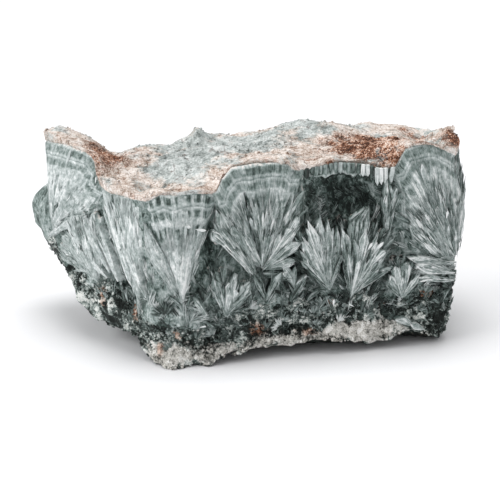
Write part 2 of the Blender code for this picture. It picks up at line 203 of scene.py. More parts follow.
def make_piece(name, points, faces, finish, uv=None, smooth=(True,), **values):
    """A piece from points in millimetres and a list of face arrays, with a UV and values for each point.

    Smooth says which of the face arrays are shaded smoothly, and repeats if there are more of them."""
    mesh = bpy.data.meshes.new(name)
    corners = np.concatenate([block.ravel() for block in faces]).astype(np.int32)
    sizes = np.concatenate([np.full(len(block), block.shape[1]) for block in faces]).astype(np.int32)
    mesh.vertices.add(len(points))
    mesh.vertices.foreach_set("co", ((points + TO_ORIGIN) * MM).astype(np.float32).ravel())
    mesh.loops.add(len(corners))
    mesh.loops.foreach_set("vertex_index", corners)
    mesh.polygons.add(len(sizes))
    mesh.polygons.foreach_set("loop_start", np.concatenate([[0], np.cumsum(sizes)[:-1]]).astype(np.int32))
    mesh.update(calc_edges=True)
    flags = np.resize(smooth, len(faces))
    mesh.polygons.foreach_set("use_smooth", np.repeat(flags, [len(block) for block in faces]))
    if uv is not None:
        layer = mesh.uv_layers.new(name="Fibres")
        layer.data.foreach_set("uv", np.asarray(uv, np.float32)[corners].ravel())
    for key, value in values.items():
        attribute = mesh.attributes.new(key, "FLOAT", "POINT")
        attribute.data.foreach_set("value", np.asarray(value, np.float32).ravel())
    if mesh.validate():
        print("   ", name, "had faces that needed repair")
    mesh.materials.append(finish)
    piece = bpy.data.objects.new(name, mesh)
    bpy.context.scene.collection.objects.link(piece)
    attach(piece, "root")
    PIECES.append(piece)
    triangles = int((sizes - 2).sum())
    print(f"{name}: {len(points)} points, {triangles} triangles, {time.perf_counter() - began:.1f} s")
    return piece


# %% [markdown]
# ## Shader maths as sums
#
# A material is a graph of small nodes. Wiring each Math node by hand hides what is worked out, so one class wraps
# a socket and lets it be added, multiplied and so on as in any formula. One method makes every other node from
# its type, its settings and the values or links of its sockets.

# %% Sockets that can be added, and a finish that holds its nodes
class Value:
    """The output of a node. A sum on it adds the Math node that works it out."""

    def __init__(self, finish, socket):
        self.finish = finish
        self.socket = socket

    def math(self, operation, first, second=0.0):
        return self.finish.node("Math", {"operation": operation}, {0: first, 1: second})

    def __add__(self, other):
        return self.math("ADD", self, other)

    def __sub__(self, other):
        return self.math("SUBTRACT", self, other)

    def __mul__(self, other):
        return self.math("MULTIPLY", self, other)

    def __rsub__(self, other):
        return self.math("SUBTRACT", other, self)

    __radd__ = __add__
    __rmul__ = __mul__

    def between(self, low, high):
        """0 below low, 1 above high, and an easy curve between them."""
        limits = {"From Min": low, "From Max": high}
        return self.finish.node("MapRange", {"interpolation_type": "SMOOTHSTEP"}, {"Value": self, **limits})


class Finish:
    """A material under construction."""

    def __init__(self, name):
        self.material = bpy.data.materials.new(name)
        self.material.use_nodes = True
        self.tree = self.material.node_tree
        self.shader = self.tree.nodes["Principled BSDF"]

    def node(self, kind, settings, sockets, output=0):
        """A node of this kind: its settings first (stops are those of a ramp), then its sockets' values or links."""
        made = self.tree.nodes.new("ShaderNode" + kind)
        for key, value in settings.items():
            if key == "stops":
                self.set_stops(made.color_ramp, value)
            else:
                setattr(made, key, value)
        for key, value in sockets.items():
            self.fill(made.inputs[key], value)
        return Value(self, made.outputs[output])

    def fill(self, socket, value):
        if isinstance(value, Value):
            self.tree.links.new(value.socket, socket)
        else:
            socket.default_value = value

    def set_stops(self, ramp, stops):
        while len(ramp.elements) < len(stops):
            ramp.elements.new(1.0)
        for element, (place, colour) in zip(ramp.elements, stops):
            element.position = place
            element.color = colour

    def place(self):
        """The place on the object in millimetres."""
        coordinates = self.node("TexCoord", {}, {}, "Object")
        return self.node("VectorMath", {"operation": "SCALE"}, {0: coordinates, "Scale": 1 / MM})

    def attribute(self, name):
        return self.node("Attribute", {"attribute_name": name}, {}, "Fac")

    def noise(self, vector, scale, detail=2.0, roughness=0.5):
        """Smooth noise around 0."""
        sockets = {"Vector": vector, "Scale": scale, "Detail": detail, "Roughness": roughness}
        return self.node("TexNoise", {}, sockets) - 0.5

    def cells(self, vector, scale):
        """A number around 0 for each cell of a Voronoi pattern."""
        colour = self.node("TexVoronoi", {}, {"Vector": vector, "Scale": scale}, "Color")
        return self.parts(colour)[0] - 0.5

    def vector(self, x, y, z=0.0):
        return self.node("CombineXYZ", {}, {0: x, 1: y, 2: z})

    def parts(self, vector):
        """The x and y of a vector."""
        return [self.node("SeparateXYZ", {}, {0: vector}, axis) for axis in (0, 1)]

    def ramp(self, value, stops):
        return self.node("ValToRGB", {"stops": stops}, {"Fac": value})

    def mix(self, share, first, second):
        """Two colours mixed by share."""
        return self.node("Mix", {"data_type": "RGBA"}, {0: share, 6: first, 7: second}, 2)

    def bump(self, height, strength, distance):
        return self.node("Bump", {}, {"Height": height, "Strength": strength, "Distance": distance})

    def done(self, colour, roughness, normal=None, specular=0.5):
        """Links what varies to the shader, sets the rest on its own sockets, and gives the material."""
        self.fill(self.shader.inputs["Base Color"], colour)
        self.fill(self.shader.inputs["Roughness"], roughness)
        if normal:
            self.fill(self.shader.inputs["Normal"], normal)
        self.shader.inputs["Specular IOR Level"].default_value = specular
        return self.material


def tint(code):
    """A colour from its six hex digits, made linear as Blender wants it."""
    parts = np.array([int(code[at:at + 2], 16) / 255 for at in (0, 2, 4)])
    linear = np.where(parts <= 0.04045, parts / 12.92, ((parts + 0.055) / 1.055) ** 2.4)
    return (*linear.tolist(), 1.0)


def colour_stops(*stops):
    """The stops of a ramp, from places and hex colours in turn."""
    return [(place, tint(code)) for place, code in zip(stops[::2], stops[1::2])]


def band_stops(bands):
    """The stops of a grey ramp over BAND_REACH, from millimetres below the rim and levels."""
    return [(below / BAND_REACH, (level, level, level, 1.0)) for below, level in bands]


# %% [markdown]
# ## Silky fibres, growth bands and loose crystals
#
# Clinochlore plates are grey green with a silky sheen, and a spray of them is streaked along its length because
# each plate catches the light at its own angle; the streaks painted here are partly the fibres' own tone and partly
# painted sheen. Near the rim the growth paused again and again, which left dark and pale bands side by side.
# Painting them on is possible, but a rule works everywhere: streaks are noise that is stretched along the fibre, and
# bands depend on the distance below the rim. Both read the fans' own UV map and values, so they bend with each fan.

# %% Fibre colours and the fan finish
FIBRE_STOPS = colour_stops(0.0, "1a2320", 0.2, "3b4a45", 0.4, "73827e", 0.6, "9ea9a7", 0.8, "c6cecd", 1.0, "eef1f0")
CRUST_STOPS = colour_stops(0.0, "6b5040", 0.2, "ad9686", 0.4, "d2c5bb", 0.62, "e8dfd8", 1.0, "f8f4f0")
BAND_REACH = 13.0  # millimetres below the rim that the ramp of bands covers
BANDS = (  # millimetres below the rim, and how pale the fibres are there
    (0.0, 0.76), (0.5, 0.66), (0.8, 0.41), (2.3, 0.39), (2.8, 0.68), (3.1, 0.6), (3.4, 0.44), (3.7, 0.72), (4.1, 0.6),
    (4.5, 0.41), (5.8, 0.43), (6.3, 0.76), (7.8, 0.73), (8.3, 0.4), (10.2, 0.4), (11.2, 0.56), (13.0, 0.55),
)
TEETH = (  # millimetres below the rim, and how much the dark bands break up into teeth there
    (0.0, 0.1), (0.5, 0.15), (0.8, 0.62), (2.2, 0.66), (2.8, 0.08), (4.2, 0.08), (4.6, 0.5), (5.8, 0.5), (6.3, 0.12),
    (7.8, 0.12), (8.4, 0.52), (10.1, 0.52), (11.2, 0.1),
)


def fan_finish():
    """Streaks along the fibres, partly painted sheen, broken by feathery noise, with growth bands below the rim.

    The deep value darkens hollows, cracks and the sides of slabs as painted shade.
    """
    finish = Finish("silky_fans")
    angle, reach = finish.parts(finish.node("UVMap", {"uv_map": "Fibres"}, {}))
    place = finish.place()
    names = ("below", "ridge", "banded", "calm", "deep")
    below, ridge, banded, calm, deep = (finish.attribute(name) for name in names)
    turned = angle + finish.noise(place, 0.35) * (0.06 + calm * 0.12)
    broad = finish.noise(finish.vector(turned * 20.0, reach * 0.09), 1.0, 3.0, 0.6)
    fine = finish.noise(finish.vector(turned * 110.0, reach * 0.2, 5.0), 1.0, 3.0, 0.65)
    mottle = finish.noise(place, 0.8, 4.0, 0.7)
    cloud = finish.noise(place, 0.22)
    flake = finish.cells(finish.vector(turned * 34.0 + fine, reach * 0.4, 3.0), 1.0)
    streaks = broad * 1.2 + fine + mottle * 1.1 + cloud * 0.7 + flake * 0.36
    # ridge makes raised fibres paler and grooves darker, as painted shade; it also carries the fan's paleness and its
    # painted light spots
    streaks = streaks * (1 - calm * 0.5) + calm * mottle * 0.7 + ridge * 0.3
    teeth = finish.noise(finish.vector(angle * 28.0, reach * 0.05, 9.0), 1.0, 2.0, 0.6).between(-0.14, 0.14) - 0.5
    wavy = below + finish.noise(finish.vector(angle * 8.0, 2.0), 1.0, 3.0, 0.6) * 0.9
    bands, toothed = (finish.ramp(wavy * (1 / BAND_REACH), band_stops(stops)) for stops in (BANDS, TEETH))
    broken = mottle * 1.1 + fine * 0.8 + cloud * 0.4
    band_share = (banded * BAND_REACH - wavy).between(0.0, 4.0) * 0.9
    inner = streaks + 0.52
    tone = inner + (bands + toothed * teeth * banded * banded * 0.75 + broken - inner) * band_share
    # deep is painted shade: it darkens the wall's hollows, the fans' cracks and the sides of slabs
    tone = tone + 0.04 - deep * 0.75
    dusty = (mottle * 4.0 + 0.35 - below).between(0.0, 0.5)
    dust = finish.ramp(mottle * 1.4 + 0.55 + fine * 0.6, CRUST_STOPS)
    colour = finish.mix(dusty * 0.75, finish.ramp(tone, FIBRE_STOPS), dust)
    normal = finish.bump(fine + broad + mottle * 0.5 + flake * 0.3, 0.5, 0.0004)
    return finish.done(colour, 0.62 - tone * 0.25, normal, specular=0.45)


def crystal_finish():
    """Loose plates: each has its own shade, streaked lengthwise, and its tip is paler."""
    finish = Finish("loose_crystals")
    round_it, along = finish.parts(finish.node("UVMap", {"uv_map": "Fibres"}, {}))
    shade = finish.attribute("shade")
    streak = finish.noise(finish.vector(round_it * 9.0, along * 0.8, shade * 40.0), 1.0, 3.0, 0.6)
    mottle = finish.noise(finish.place(), 1.4, 3.0, 0.6)
    tone = shade + streak * 1.1 + mottle * 0.6 + (along - 0.5) * 0.1
    colour = finish.ramp(tone, FIBRE_STOPS)
    return finish.done(colour, 0.55 - tone * 0.25, finish.bump(streak, 0.35, 0.0003))


FANS_FINISH = fan_finish()
CRYSTAL_FINISH = crystal_finish()

# %% [markdown]
# ## The skin's finish: dark grains below, weathered crust on top
#
# The rock under the fans is a mass of small dark and pale grains, so its colour comes cell by cell. The crust is
# the old outside of the stone: cream and tan where it is bare, rust brown where iron has weathered out, and a cool
# grey where the green mineral shows through. Where each one lies is a value on the skin, and the shader only
# breaks up the borders and adds the specks.

# %% Skin finish
GRAIN_STOPS = colour_stops(
    0.0, "161c19", 0.25, "2a322f", 0.42, "4c5753", 0.58, "7b8682", 0.75, "a3aca8", 0.88, "c2c8c4", 1.0, "e4e6e2")
LIP_STOPS = colour_stops(0.0, "3a3b36", 0.25, "85847e", 0.5, "bfbdb6", 0.75, "dedad4", 1.0, "f4f3f0")
RUST_STOPS = colour_stops(0.0, "331c12", 0.28, "6a3f29", 0.5, "a06c4e", 0.7, "cea78f", 1.0, "ecdacd")
COOL_STOPS = colour_stops(0.0, "5c6665", 0.3, "98a2a1", 0.55, "c4cccb", 1.0, "f4f5f4")


def skin_finish():
    """Fibres high on the wall, grains low on it, weathering on the crust, each from the skin's own values."""
    finish = Finish("stone_skin")
    place = finish.place()
    names = ("crust", "rust", "cool", "deep", "lip", "matrix", "ridge", "shade", "stain")
    crust, rust, cool, deep, lip, matrix, ridge, shade, stain = (finish.attribute(name) for name in names)
    coarse = finish.noise(place, 0.2, 3.0, 0.6)
    patchy = finish.noise(place, 0.24)
    middle = finish.noise(place, 0.7, 4.0, 0.68)
    speck = finish.noise(place, 2.4, 3.0, 0.7)
    cell, small_cell = finish.cells(place, 1.5), finish.cells(place, 3.2)
    # relief makes raised places paler and low places darker, as painted shade; shade adds the listed paler and darker
    # places
    relief = ridge * 0.3 + shade
    # the bare wall: fibres that bend to and fro and run upwards
    drift = finish.node("TexNoise", {}, {"Vector": place, "Scale": 0.4, "Detail": 2.0, "Roughness": 0.5}, "Color")
    bent = finish.node("VectorMath", {"operation": "MULTIPLY_ADD"}, {0: drift, 1: (3.0, 3.0, 3.0), 2: place})
    upright = finish.node("VectorMath", {"operation": "MULTIPLY"}, {0: bent, 1: (1.0, 1.0, 0.25)})
    streak = finish.noise(upright, 1.7, 3.0, 0.65)
    # deep is painted shade in the hollows and under the stone, in the fibres here and in the grains below; it also
    # makes the fibres more mottled there
    fibrous = streak * 1.3 + middle * 1.2 + patchy * (0.8 + deep * 1.6) + relief + 0.42 - deep * 0.42
    # the granular rock, with its pale underside and its rusty stains
    grain = (cell + small_cell) * 0.4 + patchy * 2.6 + middle * 1.6 + relief * 1.3 + 0.42 - deep * 0.25
    lip_tone = middle * 1.6 + patchy * 1.2 + speck * 1.6 + small_cell * 0.35 + relief + 0.58
    lip_here = (lip + coarse * 1.2 + middle * 1.8 + speck * 0.5).between(0.4, 0.75)
    rock = finish.mix(lip_here * 0.9, finish.ramp(grain, GRAIN_STOPS), finish.ramp(lip_tone, LIP_STOPS))
    stained = finish.ramp(middle * 1.6 + speck * 1.2 + relief + 0.6, RUST_STOPS)
    stain_here = (stain + middle * 1.2 + speck * 0.5).between(0.3, 0.6)
    rock = finish.mix(stain_here * 0.65, rock, stained)
    rock_share = (matrix + (middle + coarse) * 0.9).between(0.35, 0.65)
    rock = finish.mix(rock_share, finish.ramp(fibrous, FIBRE_STOPS), rock)
    # the crust: cream, cool and rusty areas, then cracks and pits
    # valley: the crust is paler where raised and darker in its low places, as painted shade; rust gathers there too
    valley = relief * 0.9 + speck * 1.1
    weather = middle * 1.2 + patchy * 0.7 + valley
    cream = finish.ramp(weather * 1.3 + speck * 0.25 + 0.45, CRUST_STOPS)
    brown = finish.ramp(weather * 1.9 + speck * 1.2 + small_cell * 0.3 + 0.42, RUST_STOPS)
    grey_stone = finish.ramp(weather * 1.1 + 0.44, COOL_STOPS)
    areas = finish.noise(place, 0.14, 3.0, 0.6)
    loose = coarse * 1.3 + middle * 1.1
    rust_share = (rust + loose + areas * 0.8 - valley * 0.35).between(0.25, 0.7)
    cool_share = (cool + 0.16 - loose * 0.7 - areas * 2.0 + speck * 0.6).between(0.15, 0.65)
    top = finish.mix(rust_share, finish.mix(cool_share * 0.9, cream, grey_stone), brown)
    plates = finish.node("TexVoronoi", {"feature": "DISTANCE_TO_EDGE"}, {"Vector": bent, "Scale": 0.3}, "Distance")
    crack = (1 - plates.between(0.0, 0.06)) * (patchy + speck * 0.6).between(0.0, 0.12)
    pits = finish.noise(place, 1.7, 2.0, 0.6).between(0.06, 0.16) * (rust_share * 0.75 + 0.08)
    top = finish.mix(pits, finish.mix(crack * 0.7, top, tint("4c3226")), tint("553526"))
    crust_share = (crust + middle * 0.5 + speck * 0.3).between(0.4, 0.6)
    height = middle * 1.2 + speck * 0.6 + small_cell * 0.3 - crack * 0.5
    colour = finish.mix(crust_share, rock, top)
    return finish.done(colour, 0.72, finish.bump(height, 0.35, 0.0005), specular=0.3)


SKIN_FINISH = skin_finish()

# %% [markdown]
# ## The skin
#
# The skin is the whole stone as one closed surface. A subdivided and displaced block would spend as many faces on
# the plain back as on the broken front, so the grid is laid out as listed: rings round the stone from the base up
# the wall and in over the crust, with closer columns where the best fans are. Each point's relief is a sum: the
# hollows, the lobe at the far end, then lumps from broad to fine.

# %% The rim line: where the fans end and the crust begins
RIM_STEPS = np.array([  # girth, and how far the rim line lies above the outline's crust edge
    (-48.2, -2.4), (-43, -2.0), (-38.9, -1.0), (-31.1, 0.9), (-27, 2.2), (-24.4, 2.8), (-21.8, 2.2), (-20.2, -2.4),
    (-16, -2.2), (-10, -1.2), (-4, -0.6), (-0.7, -0.8), (2.5, 0.8), (9.9, 1.1), (14.3, 0.2), (15.3, 0.4),
    (16.8, 3.0), (19.4, 4.2), (23.0, 2.6), (26.8, 0.9), (33, 0.4), (34.3, -1.0), (45.3, 0.8), (52, 0.3),
    (57.6, -2.1), (59.8, -2.5), (62.3, 0.4), (68.6, 0.2), (73, -0.6), (78, -2.0), (84, -1.6), (92, -1.0),
    (WHOLE_GIRTH - 60, -1.0), (WHOLE_GIRTH - 50, -1.6),
])


def rim_step(girth):
    """How far the rim line lies above the crust edge: the listed steps, and a ragged line of two sizes."""
    line = as_points(girth % WHOLE_GIRTH, 0.0, 0.0)
    step = np.interp(girth_between(girth, 0.0), *front_steps())
    far = smooth_step(84.0, 96.0, np.abs(girth_between(girth, 18.0)))
    return step + 0.12 * lumps(line, 2.1, SEED + 70) + far * 1.1 * lumps(line, 9.0, SEED + 71)


def front_steps():
    """The steps with their girths brought between minus and plus half a turn, in order."""
    girth = girth_between(RIM_STEPS[:, 0], 0.0)
    order = np.argsort(girth)
    return girth[order], RIM_STEPS[order, 1]


def rim_height(girth):
    """The height of the rim line: the crust edge plus the rim step."""
    return outline_at(turn_of(girth))[..., 2] + rim_step(girth)


# %% Hollows and relief of the wall
WALL_SET_BACK = 0.9  # how far the bare wall lies behind the outline, so that the fans stand out of it
HOLLOWS = (  # girth, height, half width, half height, depth
    (47, 41, 6.8, 6.2, 4.4), (54.5, 38.5, 4.2, 6, 1.6), (38.5, 40, 3.4, 5.5, 1),
    (-13, 16.6, 4, 2.6, 4),
    (60.5, 9.5, 5, 2.2, 2.4), (73.5, 15.6, 3.6, 2.2, 3.6), (27, 8.6, 2.6, 2, 2),
    (8, 7.5, 7, 2.4, 1.6), (13, 30, 1.5, 6, 2.6), (9.8, 22, 1.5, 4, 1),
    (34.3, 29, 1.2, 7, 2.2), (46.2, 27.5, 0.9, 7, 1.6), (61, 27, 3.2, 5, 2.2),
    (-4.6, 22.5, 1.2, 3.5, 1.2), (37.5, 15.5, 3, 1.6, 1.4), (54, 17, 3, 1.8, 1.4),
    (-28, 29, 1, 4, 1), (-36.5, 27.5, 2.4, 0.9, 1.8), (-19.6, 31, 0.9, 5, 1.8),
    (-7.2, 21.8, 1.4, 2.2, 2.4),
    (110, 20, 7, 6, 3.5), (176, 16, 9, 5, 3.5),
)
FULL_SHADE_DEPTH = 4.5  # a hollow this deep gets the darkest painted shade
SIDE_LOBE = (216.5, 26.4, 8.5, 9.2, 13)  # girth, height, half width, half height, how far it stands out
SET_IN = (  # where wall and fans lie deeper: girth, height, half width, half height, depth
    (84, 46, 13, 9, 3.3), (-50, 36, 5, 9, 1.4), (-48, 20, 8, 7, 1.8),
)
MATRIX_TOP = 15.0  # how far above the base edge the rock's lumps reach
LOW_STEPS = np.array([  # girth, and how far the skin's low edge lies above the base edge of the outline
    (-46, -0.5), (-40, -1.2), (-36, 0.0), (-33, -3.2), (-30, -4.2), (-26, -4.6), (-22, -3.2), (-18.5, -1.2),
    (-14, 0.0), (-9, -0.8), (0, 0.0), (30, 0.3), (60, 0.0), (72, 0.6), (84, 0.0),
])
LIP_PATCHES = (  # where the pale underside shows at the low edge: girth, height, half width, half height, strength
    (-1, 2.5, 7, 3.6, 1), (14, 3.2, 12, 2.6, 0.75), (36, 4.6, 12, 2.3, 0.8),
    (54.5, 5.4, 9.5, 3.2, 1.15), (69, 3.6, 5, 2.2, 0.5), (25, 9, 5, 2.6, 0.45),
    (-24, 9.5, 9, 2, 0.12),
)
STAINS = (  # rusty places on the rock: girth, height, half width, half height, strength
    (3, 8.5, 1.2, 1.2, 1.2), (-22, 14.5, 1.6, 1.6, 0.9), (-2.5, 4.5, 1.4, 2.2, 0.7), (24.5, 7.8, 3.4, 2, 0.6),
    (44.3, 14.3, 1.2, 1.8, 1.3), (70, 14.4, 2.2, 2, 1.1), (-14.5, 20, 3.5, 1, 0.9), (-10, 12.5, 2.2, 3, 0.8),
    (38, 6, 4, 1.6, 0.5), (58, 12, 3, 1.6, 0.4), (130, 8, 6, 4, 0.8), (160, 14, 5, 3, 0.6),
    (190, 10, 5, 4, 0.8),
)
ROCK_TONES = (  # paler and darker places on the rock, the darker ones painted shade in its pockets: girth, height, half width, half height, strength
    (-26, 12, 15, 8, 0.16), (-26, 9.5, 6, 3.5, -0.3), (-14.8, 19, 3, 2, -0.3),
    (4, 10, 6, 3, 0.1), (9.5, 16, 5, 4, 0.1), (23.8, 8, 3.4, 2.2, -0.25), (30, 10, 5, 2, 0.12),
    (43.5, 13, 4, 2, -0.1), (60, 12, 3.5, 2.5, -0.25), (53, 12, 3.5, 2, 0.15),
    (74.5, 14, 3.5, 2.6, -0.35), (68, 8, 5, 2.5, 0.1), (14, 8, 5, 1.6, -0.1),
)


def dent(girth, height, place):
    """A rounded bump of height 1, shaped as exp(-(x^2 + y^2)^1.1), at a place on the wall."""
    across = girth_between(girth, place[0]) / place[2]
    up = (height - place[1]) / place[3]
    return np.exp(-((across**2 + up**2) ** 1.1))


def dents(girth, height, places):
    """The sum of these places' bumps, each times its fifth number."""
    return sum(place[4] * dent(girth, height, place) for place in places)


def hollow_depth(girth, height):
    """How far the wall lies back in its hollows: the sum of their bumps, each times its depth."""
    return dents(girth, height, HOLLOWS)


def painted_hollow_shade(girth, height):
    """How much painted shade a hollow gets here, from 0 to 1."""
    return np.clip(hollow_depth(girth, height) / FULL_SHADE_DEPTH, 0, 1)


def lip_share(girth, height):
    """How much of the pale underside shows: patches on the front, and the whole low edge on the far sides."""
    far = smooth_step(88.0, 98.0, np.abs(girth_between(girth, 8.0)))
    return dents(girth, height, LIP_PATCHES) + 0.7 * far * smooth_step(4.5, 0.5, height - base_height(girth))


def wall_relief(girth, height):
    """(how far the wall stands out, how raised a point is among its fine lumps, how granular it is)."""
    above = height - base_height(girth)
    points = wall(girth, height)
    skirt = smooth_step(-1.8, 0.3, height - rim_height(girth))
    matrix = np.clip(1 - above / MATRIX_TOP, 0, 1)
    out = -WALL_SET_BACK + (WALL_SET_BACK + 0.2) * skirt - hollow_depth(girth, height)
    out = out + SIDE_LOBE[4] * dent(girth, height, SIDE_LOBE) - dents(girth, height, SET_IN)
    out = out + 1.5 * lumps(points, 15.0, SEED) + 0.9 * lumps(points, 6.5, SEED)
    out = out + 1.5 * matrix * lumps(points, 4.2, SEED + 1)
    lobed, _ = grains_at(points, 3.6, SEED + 21)
    lobes = np.clip(matrix * 1.5 + np.clip(hollow_depth(girth, height) / 3, 0, 1), 0, 1)
    out = out + 1.5 * (0.45 - lobed) * lobes
    along = girth_between(girth, 0.0)
    far_left = smooth_step(-35, -42, along) * smooth_step(-80, -70, along)
    rise = 13.0 - 3.0 * smooth_step(-18, -26, along) - 14.0 * far_left
    granular = smooth_step(rise, rise - 6.0, above + 3.0 * lumps(points, 6.0, SEED + 10))
    granular = granular * (1 - dent(girth, height, SIDE_LOBE))
    near, _ = grains_at(points, 1.7, SEED + 20)
    fine = 0.5 * lumps(points, 2.3, SEED + 3) + 0.25 * lumps(points, 1.1, SEED + 4)
    fine = fine * (0.5 + 0.5 * granular) + (0.35 - 0.7 * near) * (0.1 + 1.1 * granular)
    return out + fine, fine, granular


# %% [markdown]
# ## Where the crust is cream, rusty or cool
#
# Patches of weathering have soft borders and lie where water stood, in the dips and along the edges. Each patch is
# a place on the crust seen from above, with a reach and a strength, and all the patches of one kind are summed.

# %% Patches and lumps of the crust
CREST_HEIGHT = 48.5  # the height of the crust away from its edge
CRUST_LUMPS = (  # x, y, height, reach in x, reach in y
    (-47, 4, 1.9, 7, 8), (-33.5, 4, -3.2, 5, 14), (-22, -16, -3.5, 11, 9),
    (-12.5, 20, 2.8, 2.4, 4), (-14, 14, -3.4, 14, 16), (19, 15, 2.1, 12, 8),
    (33, -6, 1.2, 9, 8), (42, 14, 0.4, 5, 6), (54, -3, 3.6, 3.4, 6),
    (5, -12, 1, 9, 7), (1, 24, -1.6, 9, 9), (47, 7, -4.6, 4.8, 10),
    (47.5, 20, -3, 5, 7), (-27, 22, -1.1, 6, 8),
)
RUST_PATCHES = (  # x, y, reach in x, reach in y, strength
    (-34.5, 2, 5, 7, 0.85), (-33.5, -7, 4, 5, 0.7), (-34.5, -13, 4, 4.5, 0.6),
    (-28, -2, 4, 6, 0.3), (-39.5, -3, 3, 5, 0.3),
    (27, -4, 8, 10, 0.7), (35, -13, 7, 7, 0.8), (33, 4, 9, 10, 0.75),
    (41, -6, 5, 7, 0.5), (53, -7, 4, 5, 0.8), (45, 8, 6, 8, 0.6),
    (17, -17, 6, 3.5, 0.6), (6, -22, 6, 3, 0.3), (-9, -27, 12, 2.5, 0.1),
    (6, 24, 9, 5, 0.4), (46, 22, 5, 5, 0.6), (-20, -2, 4, 5, 0.1),
)
COOL_PATCHES = (  # the same five numbers
    (-16, -10, 9, 9, 0.8), (-5, 1, 11, 8, 0.8), (-6, 14, 12, 9, 0.6),
    (10, 12, 12, 7, 0.6), (-25, 18, 12, 8, 0.5), (20, 24, 12, 6, 0.4),
    (-48, 2, 3, 8, 0.4),
)


def patches(x, y, places):
    """The sum of the patches' soft bumps at a place on the crust."""
    return sum(
        strength * np.exp(-(((x - cx) / reach_x) ** 2) - ((y - cy) / reach_y) ** 2)
        for cx, cy, reach_x, reach_y, strength in places
    )


def crust_height(x, y, edge_height, inward):
    """(height of the crust, how raised it is among its fine lumps): the edge blends into the crest."""
    blend = smooth_step(0, 0.45, inward)
    height = edge_height * (1 - blend) + CREST_HEIGHT * blend
    fade = np.clip(inward / 0.08, 0, 1)
    raised = [(cx, cy, reach_x, reach_y, rise) for cx, cy, rise, reach_x, reach_y in CRUST_LUMPS]
    height = height + fade * patches(x, y, raised)
    plan = as_points(x, y, 0.0)
    height = height + fade * (1.5 * lumps(plan, 11.0, SEED + 2) + 0.9 * lumps(plan, 5.5, SEED + 2))
    near, _ = grains_at(plan, 2.3, SEED + 30)
    bent = plan + 1.2 * lumps(plan, 2.5, SEED + 32)[..., None] * (1, 1, 0)
    _, block = grains_at(bent, 4.2, SEED + 31)
    fine = 0.4 * lumps(plan, 2.6, SEED + 5) + 0.22 * lumps(plan, 1.1, SEED + 6) + 0.35 * (0.45 - near) + 0.34 * block
    rough = 0.6 + 0.4 * np.clip(patches(x, y, RUST_PATCHES), 0, 1)
    return height + fine * rough * (0.35 + 0.65 * fade), fine * rough


# %% Build the skin: base rings, wall rings and crust rings, closed by a fan of faces at each end
COLUMN_STEPS = (  # girth, and the width of the columns there
    (-49.0, 0.8), (-48.0, 0.42), (84.0, 0.42), (86.0, 0.85), (WHOLE_GIRTH - 49.0, 0.85))
WALL_RINGS = 100
CRUST_RINGS = 70
BASE_RINGS = 16
BASE_FLAT = 0.36  # the share of the way in where the underside reaches the floor
# how much painted shade the underside gets where it lies close to the floor
UNDER_SHADE = 2.0
UNDER_LIP = -0.4  # the lower this is, the less of the pale lip shows below the stone's low edge
UNDER_STAIN = 0.2
EDGE_DIP = (114.5, 6.0, 1.7)  # where the crust edge dips at the far right corner: girth, reach, depth
FRINGE = 0.22  # how much rustier the crust is along its edge


def skin_columns():
    """Girths of the columns: their spacing follows COLUMN_STEPS, as the inverse of a running count."""
    girths, steps = np.array(COLUMN_STEPS).T
    fine = np.linspace(girths[0], girths[-1], 4001)
    count = np.concatenate([[0], np.cumsum(np.diff(fine) / np.interp(fine[1:], girths, steps))])
    return np.interp(np.linspace(0, count[-1], int(count[-1]) + 1)[:-1], count, fine)


def skin_edges(girth):
    """The outline at these girths, with a dip in its crust edge at the far right corner."""
    edge = outline_at(turn_of(girth))
    edge[:, 2] -= EDGE_DIP[2] * np.exp(-((girth_between(girth, EDGE_DIP[0]) / EDGE_DIP[1]) ** 2))
    return edge


def low_rise(girth):
    """How far the skin's low edge lies above the outline's base edge: a ragged line of two sizes and the steps."""
    line = as_points(girth, 0.0, 0.0)
    ragged = 0.9 * lumps(line, 5.0, SEED + 11) + 0.5 * lumps(line, 2.2, SEED + 12)
    return ragged + np.interp(girth_between(girth, 0.0), *LOW_STEPS.T, left=0.0, right=0.0)


def underside(girth, inward):
    """A point under the stone: on the low edge at inward 0, and falling along a curve to the floor at BASE_FLAT."""
    low = base_height(girth)
    rise = low_rise(girth)
    plan = wall(girth, low + rise, wall_relief(girth, low)[0])[:, :2]
    plan = plan * (1 - inward[:, None]) + CENTRE * inward[:, None]
    fall = (1 - inward / BASE_FLAT) ** 1.5
    points = np.column_stack([plan, (low + rise) * fall])
    near, _ = grains_at(points, 1.7, SEED + 20)
    points[:, 2] += fall * (0.8 * (0.5 + lumps(points, 2.6, SEED + 9)) + 1.2 * (0.45 - near))
    return points


